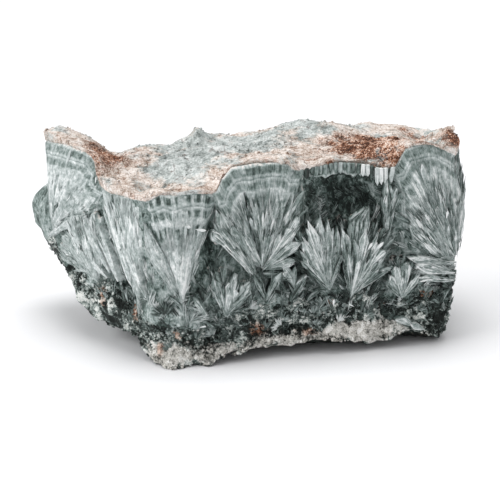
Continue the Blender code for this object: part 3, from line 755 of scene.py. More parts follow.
def build_skin():
    """The closed skin: under rings from the floor out, wall rings up, crust rings in, and a point at each end."""
    girth = skin_columns()
    columns = len(girth)
    edge = skin_edges(girth)
    ragged = 0.5 * lumps(as_points(girth, 0.0, 0.0), 3.0, SEED + 8) + np.maximum(rim_step(girth) + 0.4, 0)
    low_edge = low_rise(girth)
    rings, values = [], {key: [] for key in ("crust", "ridge", "deep", "matrix", "lip", "shade", "stain", "fringe")}

    def add(ring, **given):
        """One more ring of points and its values, which are 0 where they aren't given."""
        rings.append(ring)
        for key, column in values.items():
            column.append(np.broadcast_to(given.get(key, 0.0), len(ring)))

    # painted shade under the stone: where its low edge is near the floor, deep darkens the underside and the pale lip
    # is hidden
    for inward in np.linspace(0, BASE_FLAT, BASE_RINGS + 1)[:0:-1]:
        shaded = smooth_step(0.0, 0.05, inward) * (0.12 + 0.88 * smooth_step(9.0, 5.0, edge[:, 5]))
        add(underside(girth, np.full(columns, inward)), deep=UNDER_SHADE * shaded, matrix=1.0,
            lip=UNDER_LIP - shaded, stain=UNDER_STAIN)
    for share in np.linspace(0, 1, WALL_RINGS):
        height = edge[:, 5] * (1 - share) + (edge[:, 2] + ragged) * share
        out, fine, granular = wall_relief(girth, height)
        # the deep value here is painted shade in the wall's hollows
        add(wall(girth, height + low_edge * (1 - share) ** 4, out), ridge=fine, matrix=granular, fringe=FRINGE,
            crust=smooth_step(-0.9, -0.2, height - rim_height(girth)), deep=painted_hollow_shade(girth, height),
            lip=lip_share(girth, height), stain=dents(girth, height, STAINS), shade=dents(girth, height, ROCK_TONES))
    rim = rings[-1][:, :2]
    for inward in np.linspace(0, 1, CRUST_RINGS + 1)[1:-1] ** 1.25:
        plan = rim * (1 - inward) + CENTRE * inward
        height, fine = crust_height(plan[:, 0], plan[:, 1], edge[:, 2] + ragged * (1 - inward) ** 4, inward)
        add(np.column_stack([plan, height]), crust=1.0, ridge=fine, fringe=FRINGE * smooth_step(0.05, 0.01, inward))
    index = np.arange(len(rings) * columns).reshape(-1, columns)
    ahead = np.roll(index, -1, axis=1)
    quads = np.stack([index[:-1], ahead[:-1], ahead[1:], index[1:]], -1).reshape(-1, 4)
    bottom = np.stack([ahead[0], index[0], np.full(columns, index.size)], -1)
    top = np.stack([index[-1], ahead[-1], np.full(columns, index.size + 1)], -1)
    add([(*CENTRE, 0.0)], matrix=1.0, lip=UNDER_LIP, stain=UNDER_STAIN)
    add([(*CENTRE, float(crust_height(*CENTRE, CREST_HEIGHT, 1.0)[0]))], crust=1.0)
    points = np.concatenate(rings)
    points[:, 2] = np.maximum(points[:, 2], 0.0)
    values = {key: np.concatenate(column) for key, column in values.items()}
    values["rust"] = patches(*points.T[:2], RUST_PATCHES) + values.pop("fringe")
    values["cool"] = patches(*points.T[:2], COOL_PATCHES)
    return make_piece("stone_skin", points, [quads, bottom, top], SKIN_FINISH, **values)


skin = build_skin()
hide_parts("seraphinite")

# %% [markdown]
# ## The fans
#
# A fan is a spray of plates from one point, flat as a broken shell, with a rounded rim. It could be many separate
# plates, but they grew together, so each fan is one curved slab on a grid of angle and reach. Its front swells a
# little in the middle, and long ridges, the growth bands and a few cracks darkened with painted shade are worked into
# the same grid. The back of the slab is sunk in the wall and closed to one hidden point.

# %% The fans: girth and height of the apex, lift, how banded, then ribs as (angle from upright, reach)
Fan = namedtuple("Fan", "girth height lift banded ribs")
FANS = {key: Fan(*fan) for key, fan in {
    "end": (-44.8, 25, 1.6, 0.7, ((-2, 24.3), (14, 25.4), (29, 28), (42, 30), (52, 31), (64, 27))),
    "end_lower": (-22.5, 17.5, 2.6, 0, (
        (-86, 18), (-62, 18.5), (-40, 18), (-18, 17), (6, 17.5), (20, 15))),
    "corner": (-7.8, 12.5, 2.2, 0.25, ((-27, 29), (-12, 31.5), (2, 31.2), (14, 30))),
    "near": (5, 16.5, 2.8, 1.15, ((-15, 25.6), (-6, 27.5), (8, 27.9), (22, 28.8))),
    "tall": (25.8, 23.8, 2.4, 0.72, (
        (-54, 14), (-40, 17.5), (-27, 22.5), (-13, 26.6), (3, 26.2), (17, 27), (30, 22), (45, 15.5))),
    "low_left": (15.5, 14.5, 2, 0, ((-20, 10.5), (0, 10.8), (16, 9.5))),
    "low_middle": (21.6, 14, 1.8, 0, ((-22, 7), (0, 7.5), (24, 7))),
    "leaf_left": (40.9, 17.5, 2.6, 0, ((-36, 14), (-18, 17), (0, 16.5), (15, 18))),
    "leaf_right": (49.5, 16, 2.8, 0, ((-12, 19.5), (6, 18.5), (22, 17.5), (40, 16))),
    "right": (75.5, 23, 2.4, 0.66, (
        (-58, 17.5), (-44, 23), (-32, 28.6), (-23, 31), (-10, 30), (6, 28), (12, 25.5))),
    "mossy": (62, 17, 2, 0, ((-60, 6.5), (-20, 7.5), (20, 7.5), (60, 6))),
    "lying": (76, 20.5, 1.6, 0, ((-112, 8), (-92, 9.5), (-74, 9))),
}.items()}
COLUMN_BAND = Fan(45.6, 22, 1.4, 1.1, ((-27, 27), (-10, 27.2), (8, 27.6), (25, 27.4)))
CRACKS = {  # fan: angle at the start and the end, reach at the start and the end, half width, depth
    "tall": ((-15, -12.5, 3.5, 20.5, 0.55, 1.4), (11.5, 2.6, 9, 17.5, 0.4, 1.2), (24, 30, 5, 14, 0.5, 1)),
    "right": ((-40, -42, 6, 17, 0.4, 0.9), (-15, -13, 5, 15, 0.35, 0.7)),
    "end": ((30, 33, 6, 12, 0.4, 0.7), (52, 55, 8, 14, 0.4, 0.8)),
    "corner": ((-8, -6, 8, 20, 0.35, 0.6), (3, 4, 6, 14, 0.4, 0.7)),
    "near": ((-12, -13, 6, 13, 0.3, 0.4),),
    "end_lower": ((-30, -32, 5, 14, 0.3, 0.4), (-8, -6, 4, 13, 0.3, 0.4)),
}
# how dark the painted shade along a crack is
CRACK_SHADE = 0.45
PAINTED_LIGHT_SPOTS = (  # painted highlights and painted shade where the plates would face the light or turn from it: girth, height, half width, half height, strength
    (80, 31, 2.4, 8, 0.9), (75.6, 33, 1, 5, 0.8), (70.5, 36, 2, 5, -0.4), (67, 30, 2.5, 3.5, 0.5),
    (26, 36, 3, 6, 0.5), (33, 32, 2.5, 4, 0.4), (19, 36, 3, 5, -0.3), (5.5, 22, 2.5, 4.5, 0.35),
    (2, 33, 3, 4, -0.3), (9, 29, 2, 5, -0.4), (-12, 33, 2.5, 6, 0.4), (-20, 29, 3, 5, -0.3),
    (-28, 26, 4, 4, 0.4), (-40, 39, 3, 5, 0.4), (-33, 36, 3, 4, -0.4), (40, 26, 2, 4, 0.5),
    (49, 33, 2, 3.5, 0.4), (45, 23, 2, 4, -0.5), (54, 25, 2.5, 3, 0.5), (30, 19, 3, 3, -0.6),
    (47, 25, 8, 7, -0.4), (61, 17, 3, 3, -0.4), (76, 18.5, 3, 1.6, 0.8),
    (20.5, 27, 2.5, 3, 0.4), (38, 20, 2, 2, -0.5),
)
FAN_ROOT = 3.2  # how deep in the wall the back edge of a fan lies
FAN_TUCK = 3.0  # how much lower the back edge of the rim lies than its front edge, so that the crust covers it
FAN_CROWN = 0.94  # how round a fan is across: its sides keep the square root of 1 minus this of its lift
FAN_SWELL = (0.12, 0.88, 0.6)  # the part of a half wave that lies along a fan, and the power that rounds it
FAN_SINK = 0.45
LYING = 75  # a fan with a fibre that leans further than this, in degrees, doesn't meet the rim line
FIBRE_STRETCH = 9.0  # how much longer than wide the ridges along the fibres are
FIBRE_REACH = 26.0  # the reach in millimetres at which a fan's angle and a distance across it agree
# how dark the painted shade on the sides of fan and leaf slabs is
SIDE_SHADOW = 0.8
SLAB_SMOOTH = (True, False, False)
FAN_SHADES = {  # how pale a fan's plates are
    "near": 1.0, "end": 0.5, "corner": 0.7, "end_lower": 0.3, "leaf_left": -1.0, "leaf_right": -1.0, "tall": 0.1,
    "right": 0.3, "low_left": -0.8, "low_middle": -0.8, "mossy": -0.5,
}
FAN_SOFTNESS = {  # how strong a fan's ridges are; one below 1 also looks like felt
    "near": 0.45, "end": 0.55, "corner": 0.6, "end_lower": 0.6, "right": 1.4,
}


def rim_reach(girth, height, angle):
    """How far a fibre from this apex goes before it meets a level just below the rim line, by a few steps."""
    reach = np.zeros(np.shape(angle))
    for _ in range(8):
        top = rim_height(girth + reach * np.sin(angle))
        reach = 0.5 * reach + 0.5 * (top - 0.15 - height) / np.cos(angle)
    return reach


def far_fans():
    """The fans of the far sides, evenly spaced, each with its own shift, height, spread, lean and lift."""
    rng = np.random.default_rng(SEED + 1)
    fans = {}
    for number, girth in enumerate(np.linspace(90.0, 203.0, 8)):
        girth += rng.uniform(-3.0, 3.0)
        height = rng.uniform(16.0, 26.0)
        angles = np.linspace(-1, 1, 5) * rng.uniform(20, 33) + rng.uniform(-12, 12)
        reach = rim_reach(girth, height, np.radians(angles)) * rng.uniform(0.95, 1.0, 5)
        ribs = tuple(zip(angles.tolist(), reach.tolist()))
        fans[f"far_{number}"] = Fan(girth, height, rng.uniform(2.1, 3.0), 0.8, ribs)
    return fans


FAR_FANS = far_fans()


def rib_reach(fan, angle):
    """How far the fan reaches at this angle, straight from rib to rib."""
    return np.interp(angle, *np.array(fan.ribs).T)


def fan_front(fan, angle, level):
    """(girth, height, out, reach) of the fan's smooth front: lift times a dome over its width and a swell along it."""
    girth, height, lift, banded, ribs = fan
    first, last = ribs[0][0], ribs[-1][0]
    turn = np.radians(angle)
    reach = rib_reach(fan, angle)
    if max(abs(first), abs(last)) < LYING:
        rim = rim_reach(girth, height, turn)
        reach = reach + (rim - reach) * smooth_step(0.84, 0.92, reach / rim)
    if banded < 0.2:
        fibre = as_points(turn * reach, girth, 0.0)
        reach = reach * (1 + 0.09 * lumps(fibre, 1.3, SEED + 47) + 0.07 * lumps(fibre, 0.6, SEED + 48))
    share = np.clip((angle - first) / (last - first) * 2 - 1, -1, 1)
    start, end, power = FAN_SWELL
    swell = np.sin(np.pi * (start + (end - start) * np.clip(level, 0, 1))) ** power
    girth, height = moved(girth, height, turn, level * reach)
    out = lift * np.sqrt(1 - FAN_CROWN * share**2) * swell - FAN_SINK - dents(girth, height, SET_IN)
    if fan is not COLUMN_BAND:
        out = out - 0.7 * hollow_depth(girth, height)
    return girth, height, out, reach


def moved(girth, height, turn, along, across=0.0):
    """The place on the wall that is reached by going along a direction and across it."""
    sine, cosine = np.sin(turn), np.cos(turn)
    return girth + along * sine + across * cosine, height + along * cosine - across * sine


def crack_depth(name, angle, along):
    """(depth, painted shade) of the fan's cracks: a groove that narrows to nothing at both ends."""
    depth = np.zeros(np.broadcast(angle, along).shape)
    dark = np.zeros_like(depth)
    for first, last, low, high, half, deep in CRACKS.get(name, ()):
        share = (along - low) / (high - low)
        middle = first + (last - first) * np.clip(share, 0, 1) + 1.2 * np.sin(share * 9.0)
        taper = np.clip(4 * share * (1 - share), 0, 1) ** 0.5
        aside = np.radians(angle - middle) * along / (half * taper + 1e-3)
        groove = np.exp(-(aside**2)) * (taper > 0)
        depth = depth + deep * groove
        dark = np.maximum(dark, CRACK_SHADE * groove)
    return depth, dark


def build_fan(name, fan, step, levels=(0.03, 1.0), seed=0):
    """One fan's points, faces, UV and values, on a grid with this step in millimetres."""
    banded, softness = fan.banded, FAN_SOFTNESS.get(name, 1.0)
    calm = float(softness < 1.0)
    first, last = fan.ribs[0][0], fan.ribs[-1][0]
    longest = max(rib[1] for rib in fan.ribs)
    columns = int(np.radians(last - first) * longest * 0.85 / step) + 2
    rows = int((levels[1] - levels[0]) * longest / step) + 2
    angle = np.linspace(first, last, columns)[None, :]
    start = levels[0] + 0.03 * (levels[0] > 0.5) * lumps(angle.T * (1, 0, 0), 2.2, SEED + 46)
    level = start + (levels[1] - start) * np.linspace(0, 1, rows)[:, None]
    girth, height, out, reach = fan_front(fan, angle, level)
    along = level * reach
    below = reach - along
    aside = np.radians(angle) * FIBRE_REACH
    fibre = as_points(aside, along / FIBRE_STRETCH, float(seed))
    ridge = 0.6 * lumps(fibre, 1.5, SEED + 40) + 0.45 * lumps(fibre, 0.62, SEED + 41)
    ridge = (ridge + 0.35 * lumps(fibre * (1, 1.5, 1), 0.3, SEED + 42)) * softness
    ticks = lumps(as_points(aside, 0.0, float(seed)), 0.9, SEED + 43)
    wave = below + 0.35 * lumps(fibre * (1, 0, 1), 3.0, SEED + 44)
    outer = 1 - smooth_step(2.1, 2.5, wave)
    relief = ridge * 0.34 * np.clip(along / 12.0, 0.15, 1) * (1 - 0.6 * banded * outer)
    relief = relief + banded * (outer * (0.28 * ticks - 0.22) - 0.12 * np.exp(-(((wave - 4.2) / 0.8) ** 2)))
    relief = relief - banded * 0.1 * np.exp(-(((wave - 8.4) / 0.9) ** 2))
    depth, dark = crack_depth(name, angle, along)
    # painted shade in the wall's hollows joins that of the cracks, except on the column band
    dark = np.maximum(dark, painted_hollow_shade(girth, height) * (fan is not COLUMN_BAND))
    rounding = 0.8 * np.clip(1 - below / 0.8, 0, 1) ** 2
    jag = 0.7 * lumps(fibre * (0.2, 2, 1), 0.7, SEED + 45)
    front = wall(girth + jag * 0.3, height, out + relief - depth - rounding)
    hidden = wall(
        fan.girth, fan.height + 0.5 * sum(levels) * longest * np.cos(np.radians((first + last) / 2)), -6.0)
    # the fan's own paleness plus the painted highlights and painted shade of the light spots
    sheen = FAN_SHADES.get(name, 0.0) + dents(girth, height, PAINTED_LIGHT_SPOTS)
    values = {"below": wave, "ridge": ridge + sheen, "deep": dark, "banded": banded, "calm": calm}
    # painted shade on the slab's sides: less on calm fans, and none near the rim of a banded one
    shadow = (SIDE_SHADOW - 0.5 * calm) * (1 - (banded > 0.2) * smooth_step(2.5, 0.5, below))
    sunk = wall(girth, height - FAN_TUCK * smooth_step(3.0, 0.0, below), -FAN_ROOT)
    return slab(front, sunk, hidden, (np.radians(angle) + seed * 1.7, along), values, shadow)


def loop(grid):
    """The outer rows and columns of a grid, once round."""
    return np.concatenate([grid[0], grid[1:, -1], grid[-1, -2::-1], grid[-2:0:-1, 0]])


def slab(front, sunk, hidden, uv, values, shadow):
    """A closed slab: the front grid, a loop sunk behind its edge, and one hidden point that closes the back. Its
    sides are darkened by shadow, as painted shade."""
    rows, columns = front.shape[:2]
    index = np.arange(rows * columns).reshape(rows, columns)
    quads = np.stack([index[:-1, :-1], index[:-1, 1:], index[1:, 1:], index[1:, :-1]], -1).reshape(-1, 4)
    edge = loop(index)
    under = rows * columns + np.arange(len(edge))
    sides = np.stack([np.roll(edge, -1), edge, under, np.roll(under, -1)], -1)
    back = np.stack([np.roll(under, -1), under, np.full(len(edge), under[-1] + 1)], -1)
    points = np.concatenate([front.reshape(-1, 3), loop(sunk), hidden[None]])

    def spread(grid, more=0.0):
        grid, more = (np.broadcast_to(value, (rows, columns)).ravel() for value in (grid, more))
        return np.concatenate([grid, grid[edge] + more[edge], [grid[0]]])

    spread_values = {key: spread(value, shadow if key == "deep" else 0.0) for key, value in values.items()}
    return points, [quads, sides, back], np.stack([spread(uv[0]), spread(uv[1])], -1), spread_values


def join(parts):
    """Several (points, faces, uv, values) sets as one: each set's faces move on by the points before it."""
    starts = np.cumsum([0] + [len(part[0]) for part in parts[:-1]])
    faces = [block + start for part, start in zip(parts, starts) for block in part[1]]
    points, uv = (np.concatenate([part[item] for part in parts]) for item in (0, 2))
    return points, faces, uv, {key: np.concatenate([part[3][key] for part in parts]) for key in parts[0][3]}


def make_joined(name, parts, finish, smooth):
    """Several sets of arrays as one piece."""
    points, faces, uv, values = join(parts)
    return make_piece(name, points, faces, finish, uv, smooth, **values)


# %% The leaf blades: girth and height of the foot, angle, length, width, out at the foot and the tip, shade
LEAF_STEP = 0.3
LEAF_ROOF = 0.07  # the height of a leaf's roof as a share of its width
SHINGLES = 3  # smaller leaves that lie on each long one right of CALM_END
LEAF_RISE = 0.6  # how much of the listed rise from foot to tip is built
CALM_END = 14  # the girth where the part of the front that looks like felt ends
Leaf = namedtuple("Leaf", "girth height angle length width foot_out tip_out shade")
BLADES = [Leaf(*values) for values in (
    (23.5, 22.5, -31, 18.5, 6.5, 1.2, 2.3, 0.15), (-6, 16.8, -19, 24, 5.6, 1, 1.4, 0.2),
    (4.8, 17, -22, 20, 4.8, 1.1, 1.3, 0.2), (-18.2, 19.5, -66, 14, 3.4, 1.5, 2, 0.25),
    (-17, 21, -40, 13.5, 3.6, 1.6, 2.1, 0.2), (-14, 19.5, -25, 13.5, 3.6, 1.6, 2.1, 0.25),
    (-3.2, 18, -33, 13, 3.6, 1.3, 1.8, 0.25), (-46, 24, 63, 22, 3, 0.8, 1.6, 0.25),
    (25.5, 24, 42, 15.4, 3.6, 1.4, 3.4, 0.2),
    (25.5, 24, 52, 11.5, 2.8, 1.6, 3.4, 0), (25.8, 24, 76, 8.4, 2.6, 1.4, 3.2, -0.1),
    (25, 24.8, 17, 12, 2.4, 1.8, 2.3, 0), (25, 24.8, 7, 15.5, 1.4, 1.9, 2.5, 0.3),
    (25.5, 23, 100, 8, 2.4, 1.2, 2.6, -0.1),
    (43, 17.5, -40, 11.7, 2.4, 2, 3.4, 0), (43, 17.5, -29, 15.5, 2.6, 2, 3.9, 0.1),
    (43, 17.5, -19, 18.7, 2.8, 2, 4.2, 0.2), (43, 17.5, -11, 18.6, 2.3, 2, 3.9, 0),
    (43, 17.5, -3, 17.5, 2.6, 2, 4.2, 0.1), (43, 17.5, 6, 15.8, 2.6, 2, 3.8, -0.1),
    (43, 17.5, 16, 12, 2.4, 2, 3.4, 0),
    (48.8, 15.8, -10, 17, 3.2, 2, 4, 0), (48.8, 15.8, 3, 22.3, 5.4, 1.6, 4.4, -0.15),
    (48.8, 15.8, 12, 17, 2.8, 2.2, 4.4, 0.25), (48.8, 15.8, 20, 16, 2.8, 2, 4, 0),
    (48.8, 15.8, 28, 15, 3, 2, 4, 0.1), (48.8, 15.8, 40, 13, 2.8, 1.8, 3.4, -0.1),
    (48.8, 15.8, 52, 11.5, 2.6, 1.8, 3, 0),
    (74.2, 21.8, -47, 15, 3.2, 1.2, 2.7, 0), (74.2, 21.8, -38, 18.8, 2.6, 1.4, 2.4, 0),
    (74.2, 21.8, -25, 14.4, 2.4, 1.4, 2.3, 0),
    (75, 22.2, -84, 11.5, 3.2, 1.6, 2.6, 0.2), (75, 19.4, -71, 10, 3.2, 1.6, 3, 0.2),
    (75, 17.4, -76, 9, 2.6, 1.6, 3, 0), (57.5, 27, 4, 17, 4.2, 0.8, 2.2, -0.15),
    (62.2, 14, -40, 6.5, 2.6, 1.4, 2.8, 0), (62.2, 14, -16, 8.6, 2.8, 1.6, 3.2, 0.15),
    (62.2, 14, 6, 9, 2.8, 1.6, 3.2, 0), (62.2, 14, 34, 7.5, 2.6, 1.6, 2.8, 0.1),
    (15.5, 13, -14, 10.2, 3.4, 1.4, 2.8, -0.05), (15.5, 13, 16, 10.8, 3.2, 1.4, 3, 0.1),
    (15.5, 13, 42, 9.6, 3, 1.4, 2.6, -0.15), (10.8, 13.5, -36, 6, 2.4, 1.4, 2.2, -0.1),
    (26.2, 16, -24, 7.8, 2.8, 1.2, 2.4, -0.2), (26.2, 16, 24, 8.2, 2.8, 1.2, 2.6, -0.1),
    (32.8, 15, 24, 7.4, 2.8, 1.2, 2.6, -0.2), (34, 17.5, -20, 8.5, 2.8, 1.4, 2.8, -0.1),
    (65.8, 5.8, -56, 5, 3, 0.6, 1.2, 0), (69.5, 4.4, -66, 4.6, 2.6, 0.6, 1.2, 0.1),
)]


def leaf_out(foot_out, tip_out, level):
    """How far a leaf's edge stands out: it rises evenly from foot to tip."""
    return foot_out + (tip_out - foot_out) * LEAF_RISE * level


def leaf_roof(width, half, share):
    """How much higher a leaf is inside: a low roof over its width."""
    return LEAF_ROOF * width * half * (1 - np.abs(share) ** 1.7)


def build_leaf(leaf, seed, step=LEAF_STEP):
    """A pointed leaf of fibres: width falls to nothing at the tip, and its front is a low roof over its width."""
    girth, height, turn, length, width, foot_out, tip_out, shade = leaf
    level = np.linspace(0.0, 0.985, int(length / step) + 2)[:, None]
    share = np.linspace(-1, 1, int(width / step) + 4)[None, :]
    half, middle = leaf_outline(level, seed)
    jag = 1 + 0.09 * lumps(as_points(share[0] * width * 1.4, 0.0, float(seed)), 1.0, SEED + 83)
    along = level * length * jag
    girth, height = moved(girth, height, np.radians(turn), along, (share * half + middle) * width / 2)
    fibre = as_points(share * width, along / FIBRE_STRETCH, float(seed))
    ridge = 0.5 * lumps(fibre, 1.1, SEED + 81) + 0.45 * lumps(fibre, 0.45, SEED + 82)
    roof = leaf_roof(width, half, share)
    out = leaf_out(foot_out, tip_out, level) + roof + 0.2 * ridge * half
    # glow is a painted highlight along the leaf's edges, and makes the leaf paler towards its tip
    glow = 0.3 * np.abs(share) ** 6 * level + 0.3 * level - 0.15
    calm = float(girth_between(leaf.girth, 0.0) < CALM_END and width > 2.8)
    # streaky: ridges paler than grooves as painted shade, the glow, the leaf's own shade, and the painted light spots
    streaky = (1.3 * ridge + glow) * (1 - 0.5 * calm) + shade / 0.3 * 0.8 + dents(girth, height, PAINTED_LIGHT_SPOTS)
    values = {"below": 99.0, "ridge": streaky, "deep": 0.0, "banded": 0.0, "calm": calm}
    uv = (share * width / FIBRE_REACH + seed * 1.3, along)
    hidden = wall(girth.mean(), height.mean(), -4.0)
    sunk = wall(girth, height, out - 2.2 - 0.5 * roof)
    # the leaf's sides get painted shade, less on calm leaves
    return slab(wall(girth, height, out), sunk, hidden, uv, values, SIDE_SHADOW - 0.2 - 0.5 * calm)


def build_leaves(kind, seed, step=LEAF_STEP):
    """The arrays of each leaf of one kind, with seeds that count up from this one."""
    return [build_leaf(leaf, seed + number, step) for number, leaf in enumerate(kind)]


def shingles(blades, rng):
    """Smaller leaves that start part of the way up each long blade right of CALM_END and stray a little from it."""
    found = []
    for girth, height, turn, length, width, foot_out, tip_out, shade in blades:
        for start in rng.uniform(0.1, 0.62, SHINGLES if girth > CALM_END and length > 8 else 0):
            aside = rng.uniform(-0.4, 0.4) * width * (0.4 + start)
            part = (1 - start) * rng.uniform(0.45, 0.85)
            out = leaf_out(foot_out, tip_out, start) + 0.05
            found.append(Leaf(
                *moved(girth, height, np.radians(turn), start * length, aside),
                turn + rng.normal(0, 7) + 30 * aside / width, length * part, width * rng.uniform(0.35, 0.6), out,
                out + rng.uniform(0.5, 1.3), shade + rng.normal(-0.05, 0.22)))
    return found


def leaf_outline(level, seed):
    """(half width, middle line) of a leaf for its level, both for a width of 2: it opens like a narrow fan, then
    runs to a point that lies to one side."""
    seed = np.round(np.asarray(seed)).astype(np.int64)
    place = np.stack([seed, seed * 0 + 3, seed * 0 + 1], -1)
    skew = 0.8 * lattice_value(place, SEED + 84)
    bend = 0.45 * lattice_value(place, SEED + 80)
    close = 0.27 + 0.15 * lattice_value(place, SEED + 85)
    half = (level + 0.03) ** 0.7 * np.clip((1 - level) / close, 0, 1) ** 0.72
    return half, skew * level * (level**0.7 - half) + bend * level**2


def far_blades(rng):
    """Four leaves beside each far fan, at random angles near that fan's own."""
    found = []
    for girth, height, _, _, ribs in FAR_FANS.values():
        if abs(girth_between(girth, 87.0)) < 6:
            continue
        for turn in rng.uniform(ribs[0][0] - 15, ribs[-1][0] + 15, 4):
            length = rng.uniform(7, 14)
            across, up = girth + rng.uniform(-2, 2), height + rng.uniform(-2, 1)
            sunk = 0.6 * float(hollow_depth(across, up))
            found.append(Leaf(across, up, turn, length, length * 0.2, rng.uniform(0.9, 1.6) - sunk,
                              rng.uniform(1.5, 2.3) - sunk, rng.uniform(-0.3, 0.15)))
    return found


# %% Build the fans in three pieces, and the leaves
def build_fans(name, fans, step, *more):
    """One piece from these fans, each with its number as its seed, and any further parts."""
    parts = [build_fan(key, fan, step, seed=number) for number, (key, fan) in enumerate(fans.items())]
    return make_joined(name, [*parts, *more], FANS_FINISH, SLAB_SMOOTH)


LEFT = ("end", "end_lower", "corner", "near", "low_left")
build_fans("fans_left", {key: FANS[key] for key in LEFT}, 0.3)
build_fans("fans_middle", {key: fan for key, fan in FANS.items() if key not in LEFT}, 0.3,
           build_fan("columns", COLUMN_BAND, 0.3, (0.9, 1.0), seed=30))
build_fans("fans_far", FAR_FANS, 0.42)
FAR_BLADES = far_blades(np.random.default_rng(SEED + 2))
SHINGLE_LEAVES = shingles(BLADES, np.random.default_rng(SEED + 3))
leaf_parts = build_leaves(BLADES, 0) + build_leaves(SHINGLE_LEAVES, 1500, 0.34) + build_leaves(FAR_BLADES, 100, 0.5)
make_joined("leaf_blades", leaf_parts, FANS_FINISH, SLAB_SMOOTH)

# %% [markdown]
# ## Crystals that stand out
#
# Between and over the fans, loose plates and needles stick out at their own angles, and their pale tips against
# dark gaps are what makes the stone look feathery. They could be scattered as instances, but an export drops
# those, so they are one joined mesh. A crystal is a stack of small rings along a line, closed by a point at each
# end, and all of them are worked out at once.

# %% Many crystals as one set of arrays: each ring's share of the length and of the width
LEAF_RINGS = ((-0.1, 0.3), (0.2, 0.75), (0.6, 1.0), (0.85, 0.55))
COLUMN_RINGS = ((0.0, 0.85), (0.4, 1.0), (0.96, 0.95))
NEEDLE_RINGS = ((0.12, 0.8), (0.7, 1.0))


def crystal_axes(girth, angle, tilt):
    """Directions along, across and through crystals that lie on the wall at an angle and tilt out of it."""
    normal = np.concatenate([outward(girth), np.zeros((len(girth), 1))], 1)
    up = np.array((0.0, 0.0, 1.0))
    turn, lean = np.radians(angle)[:, None], np.radians(tilt)[:, None]
    flat = np.cross(up, normal) * np.sin(turn) + up * np.cos(turn)
    along = flat * np.cos(lean) + normal * np.sin(lean)
    side = np.cross(along, normal)
    side /= np.linalg.norm(side, axis=1, keepdims=True)
    return along, side, np.cross(side, along)


def crystals(foot, axes, length, width, flatness, shade, rings, sides):
    """Points, faces, UV and values of many crystals: ring k lies at its share of the length and the width."""
    along, side, through = axes
    stops, wide = np.array(rings).T
    flatness = np.broadcast_to(flatness, len(foot))
    turn = -np.arange(sides) / sides * 2 * np.pi
    ring = side[:, None] * np.cos(turn)[:, None] + through[:, None] * (flatness[:, None, None] * np.sin(turn)[:, None])
    ring = ring * width[:, None, None] / 2
    spine = foot[:, None] + along[:, None] * (length[:, None] * stops)[..., None]
    body = (spine[:, :, None] + ring[:, None] * wide[:, None, None]).reshape(len(foot), -1, 3)
    tail = foot - along * length[:, None] * 0.3
    tip = foot + along * length[:, None]
    points = np.concatenate([body, tail[:, None], tip[:, None]], 1)
    this = np.arange(sides)
    ahead = np.roll(this, -1)
    quads = [np.stack([this, ahead, ahead + sides, this + sides], -1) + at * sides for at in range(len(stops) - 1)]
    last = (len(stops) - 1) * sides
    ends = [
        np.stack([ahead, this, np.full(sides, last + sides)], -1),
        np.stack([this + last, ahead + last, np.full(sides, last + sides + 1)], -1),
    ]
    each = points.shape[1]
    offsets = (np.arange(len(foot)) * each)[:, None, None]
    faces = [(np.concatenate(block) + offsets).reshape(-1, block[0].shape[1]) for block in (quads, ends)]
    u = np.concatenate([np.tile(this / sides, len(stops)), [0.5, 0.5]])
    v = np.concatenate([np.repeat(stops, sides), [0.0, 1.0]])
    uv = np.stack([np.tile(u, len(foot)), np.tile(v, len(foot))], -1)
    return points.reshape(-1, 3), faces, uv, {"shade": np.repeat(shade, each)}


# %% Loose leaves, tufts and rosettes
SPRAYS = {  # fan: loose leaves on it, tufts of needles on it, how far they stray from the fibres in degrees
    "end": (16, 60, 6), "end_lower": (35, 90, 14), "corner": (30, 80, 9), "near": (10, 40, 3),
    "tall": (22, 130, 7), "low_left": (18, 60, 16), "low_middle": (14, 50, 16),
    "leaf_left": (75, 130, 13), "leaf_right": (75, 140, 12), "right": (26, 150, 7),
    "mossy": (14, 60, 22), "lying": (12, 40, 12),
}


def spray(fan, count, rng, levels):
    """Random places on a fan: (girth, height, out, the fibre's angle, room to the rim, level)."""
    angle = rng.uniform(fan.ribs[0][0], fan.ribs[-1][0], count)
    level = levels[0] + (levels[1] - levels[0]) * rng.uniform(0, 1, count) ** 0.7
    girth, height, out, reach = fan_front(fan, angle, level)
    return girth, height, out, angle, (1.0 - level) * reach + 0.4, level


def leaves(fan, count, stray, glow, rng):
    """Single flat crystals on a fan, half sunk in it."""
    girth, height, out, angle, room, level = spray(fan, count, rng, (0.08, 0.8))
    length = np.minimum(rng.uniform(3.0, 8.0, count) * (0.5 + 0.5 * level), room)
    tilt = rng.uniform(3, 12, count) * (1.1 - level)
    axes = crystal_axes(girth, angle + rng.normal(0, stray, count), tilt)
    shade = np.clip(pale_spread(count, glow, rng), 0.1, 0.8)
    width = rng.uniform(0.5, 1.0, count) ** 1.5 * 1.9 * (0.4 + 0.6 * level)
    foot = wall(girth, height, out - 0.25)
    return crystals(foot, axes, length, width, rng.uniform(0.2, 0.4, count), shade, LEAF_RINGS, 6)


def pale_spread(count, glow, rng):
    """Random shades about 0.5 plus the fan's glow, closer together where it glows."""
    return 0.5 + rng.normal(0, 0.17, count) * (1 - 2 * max(glow, 0)) + glow


NEEDLES_PER_TUFT = 7


def repeated(times, *arrays):
    """Each array with every number repeated, so that one bundle's values reach all its needles."""
    return [np.repeat(array, times) for array in arrays]


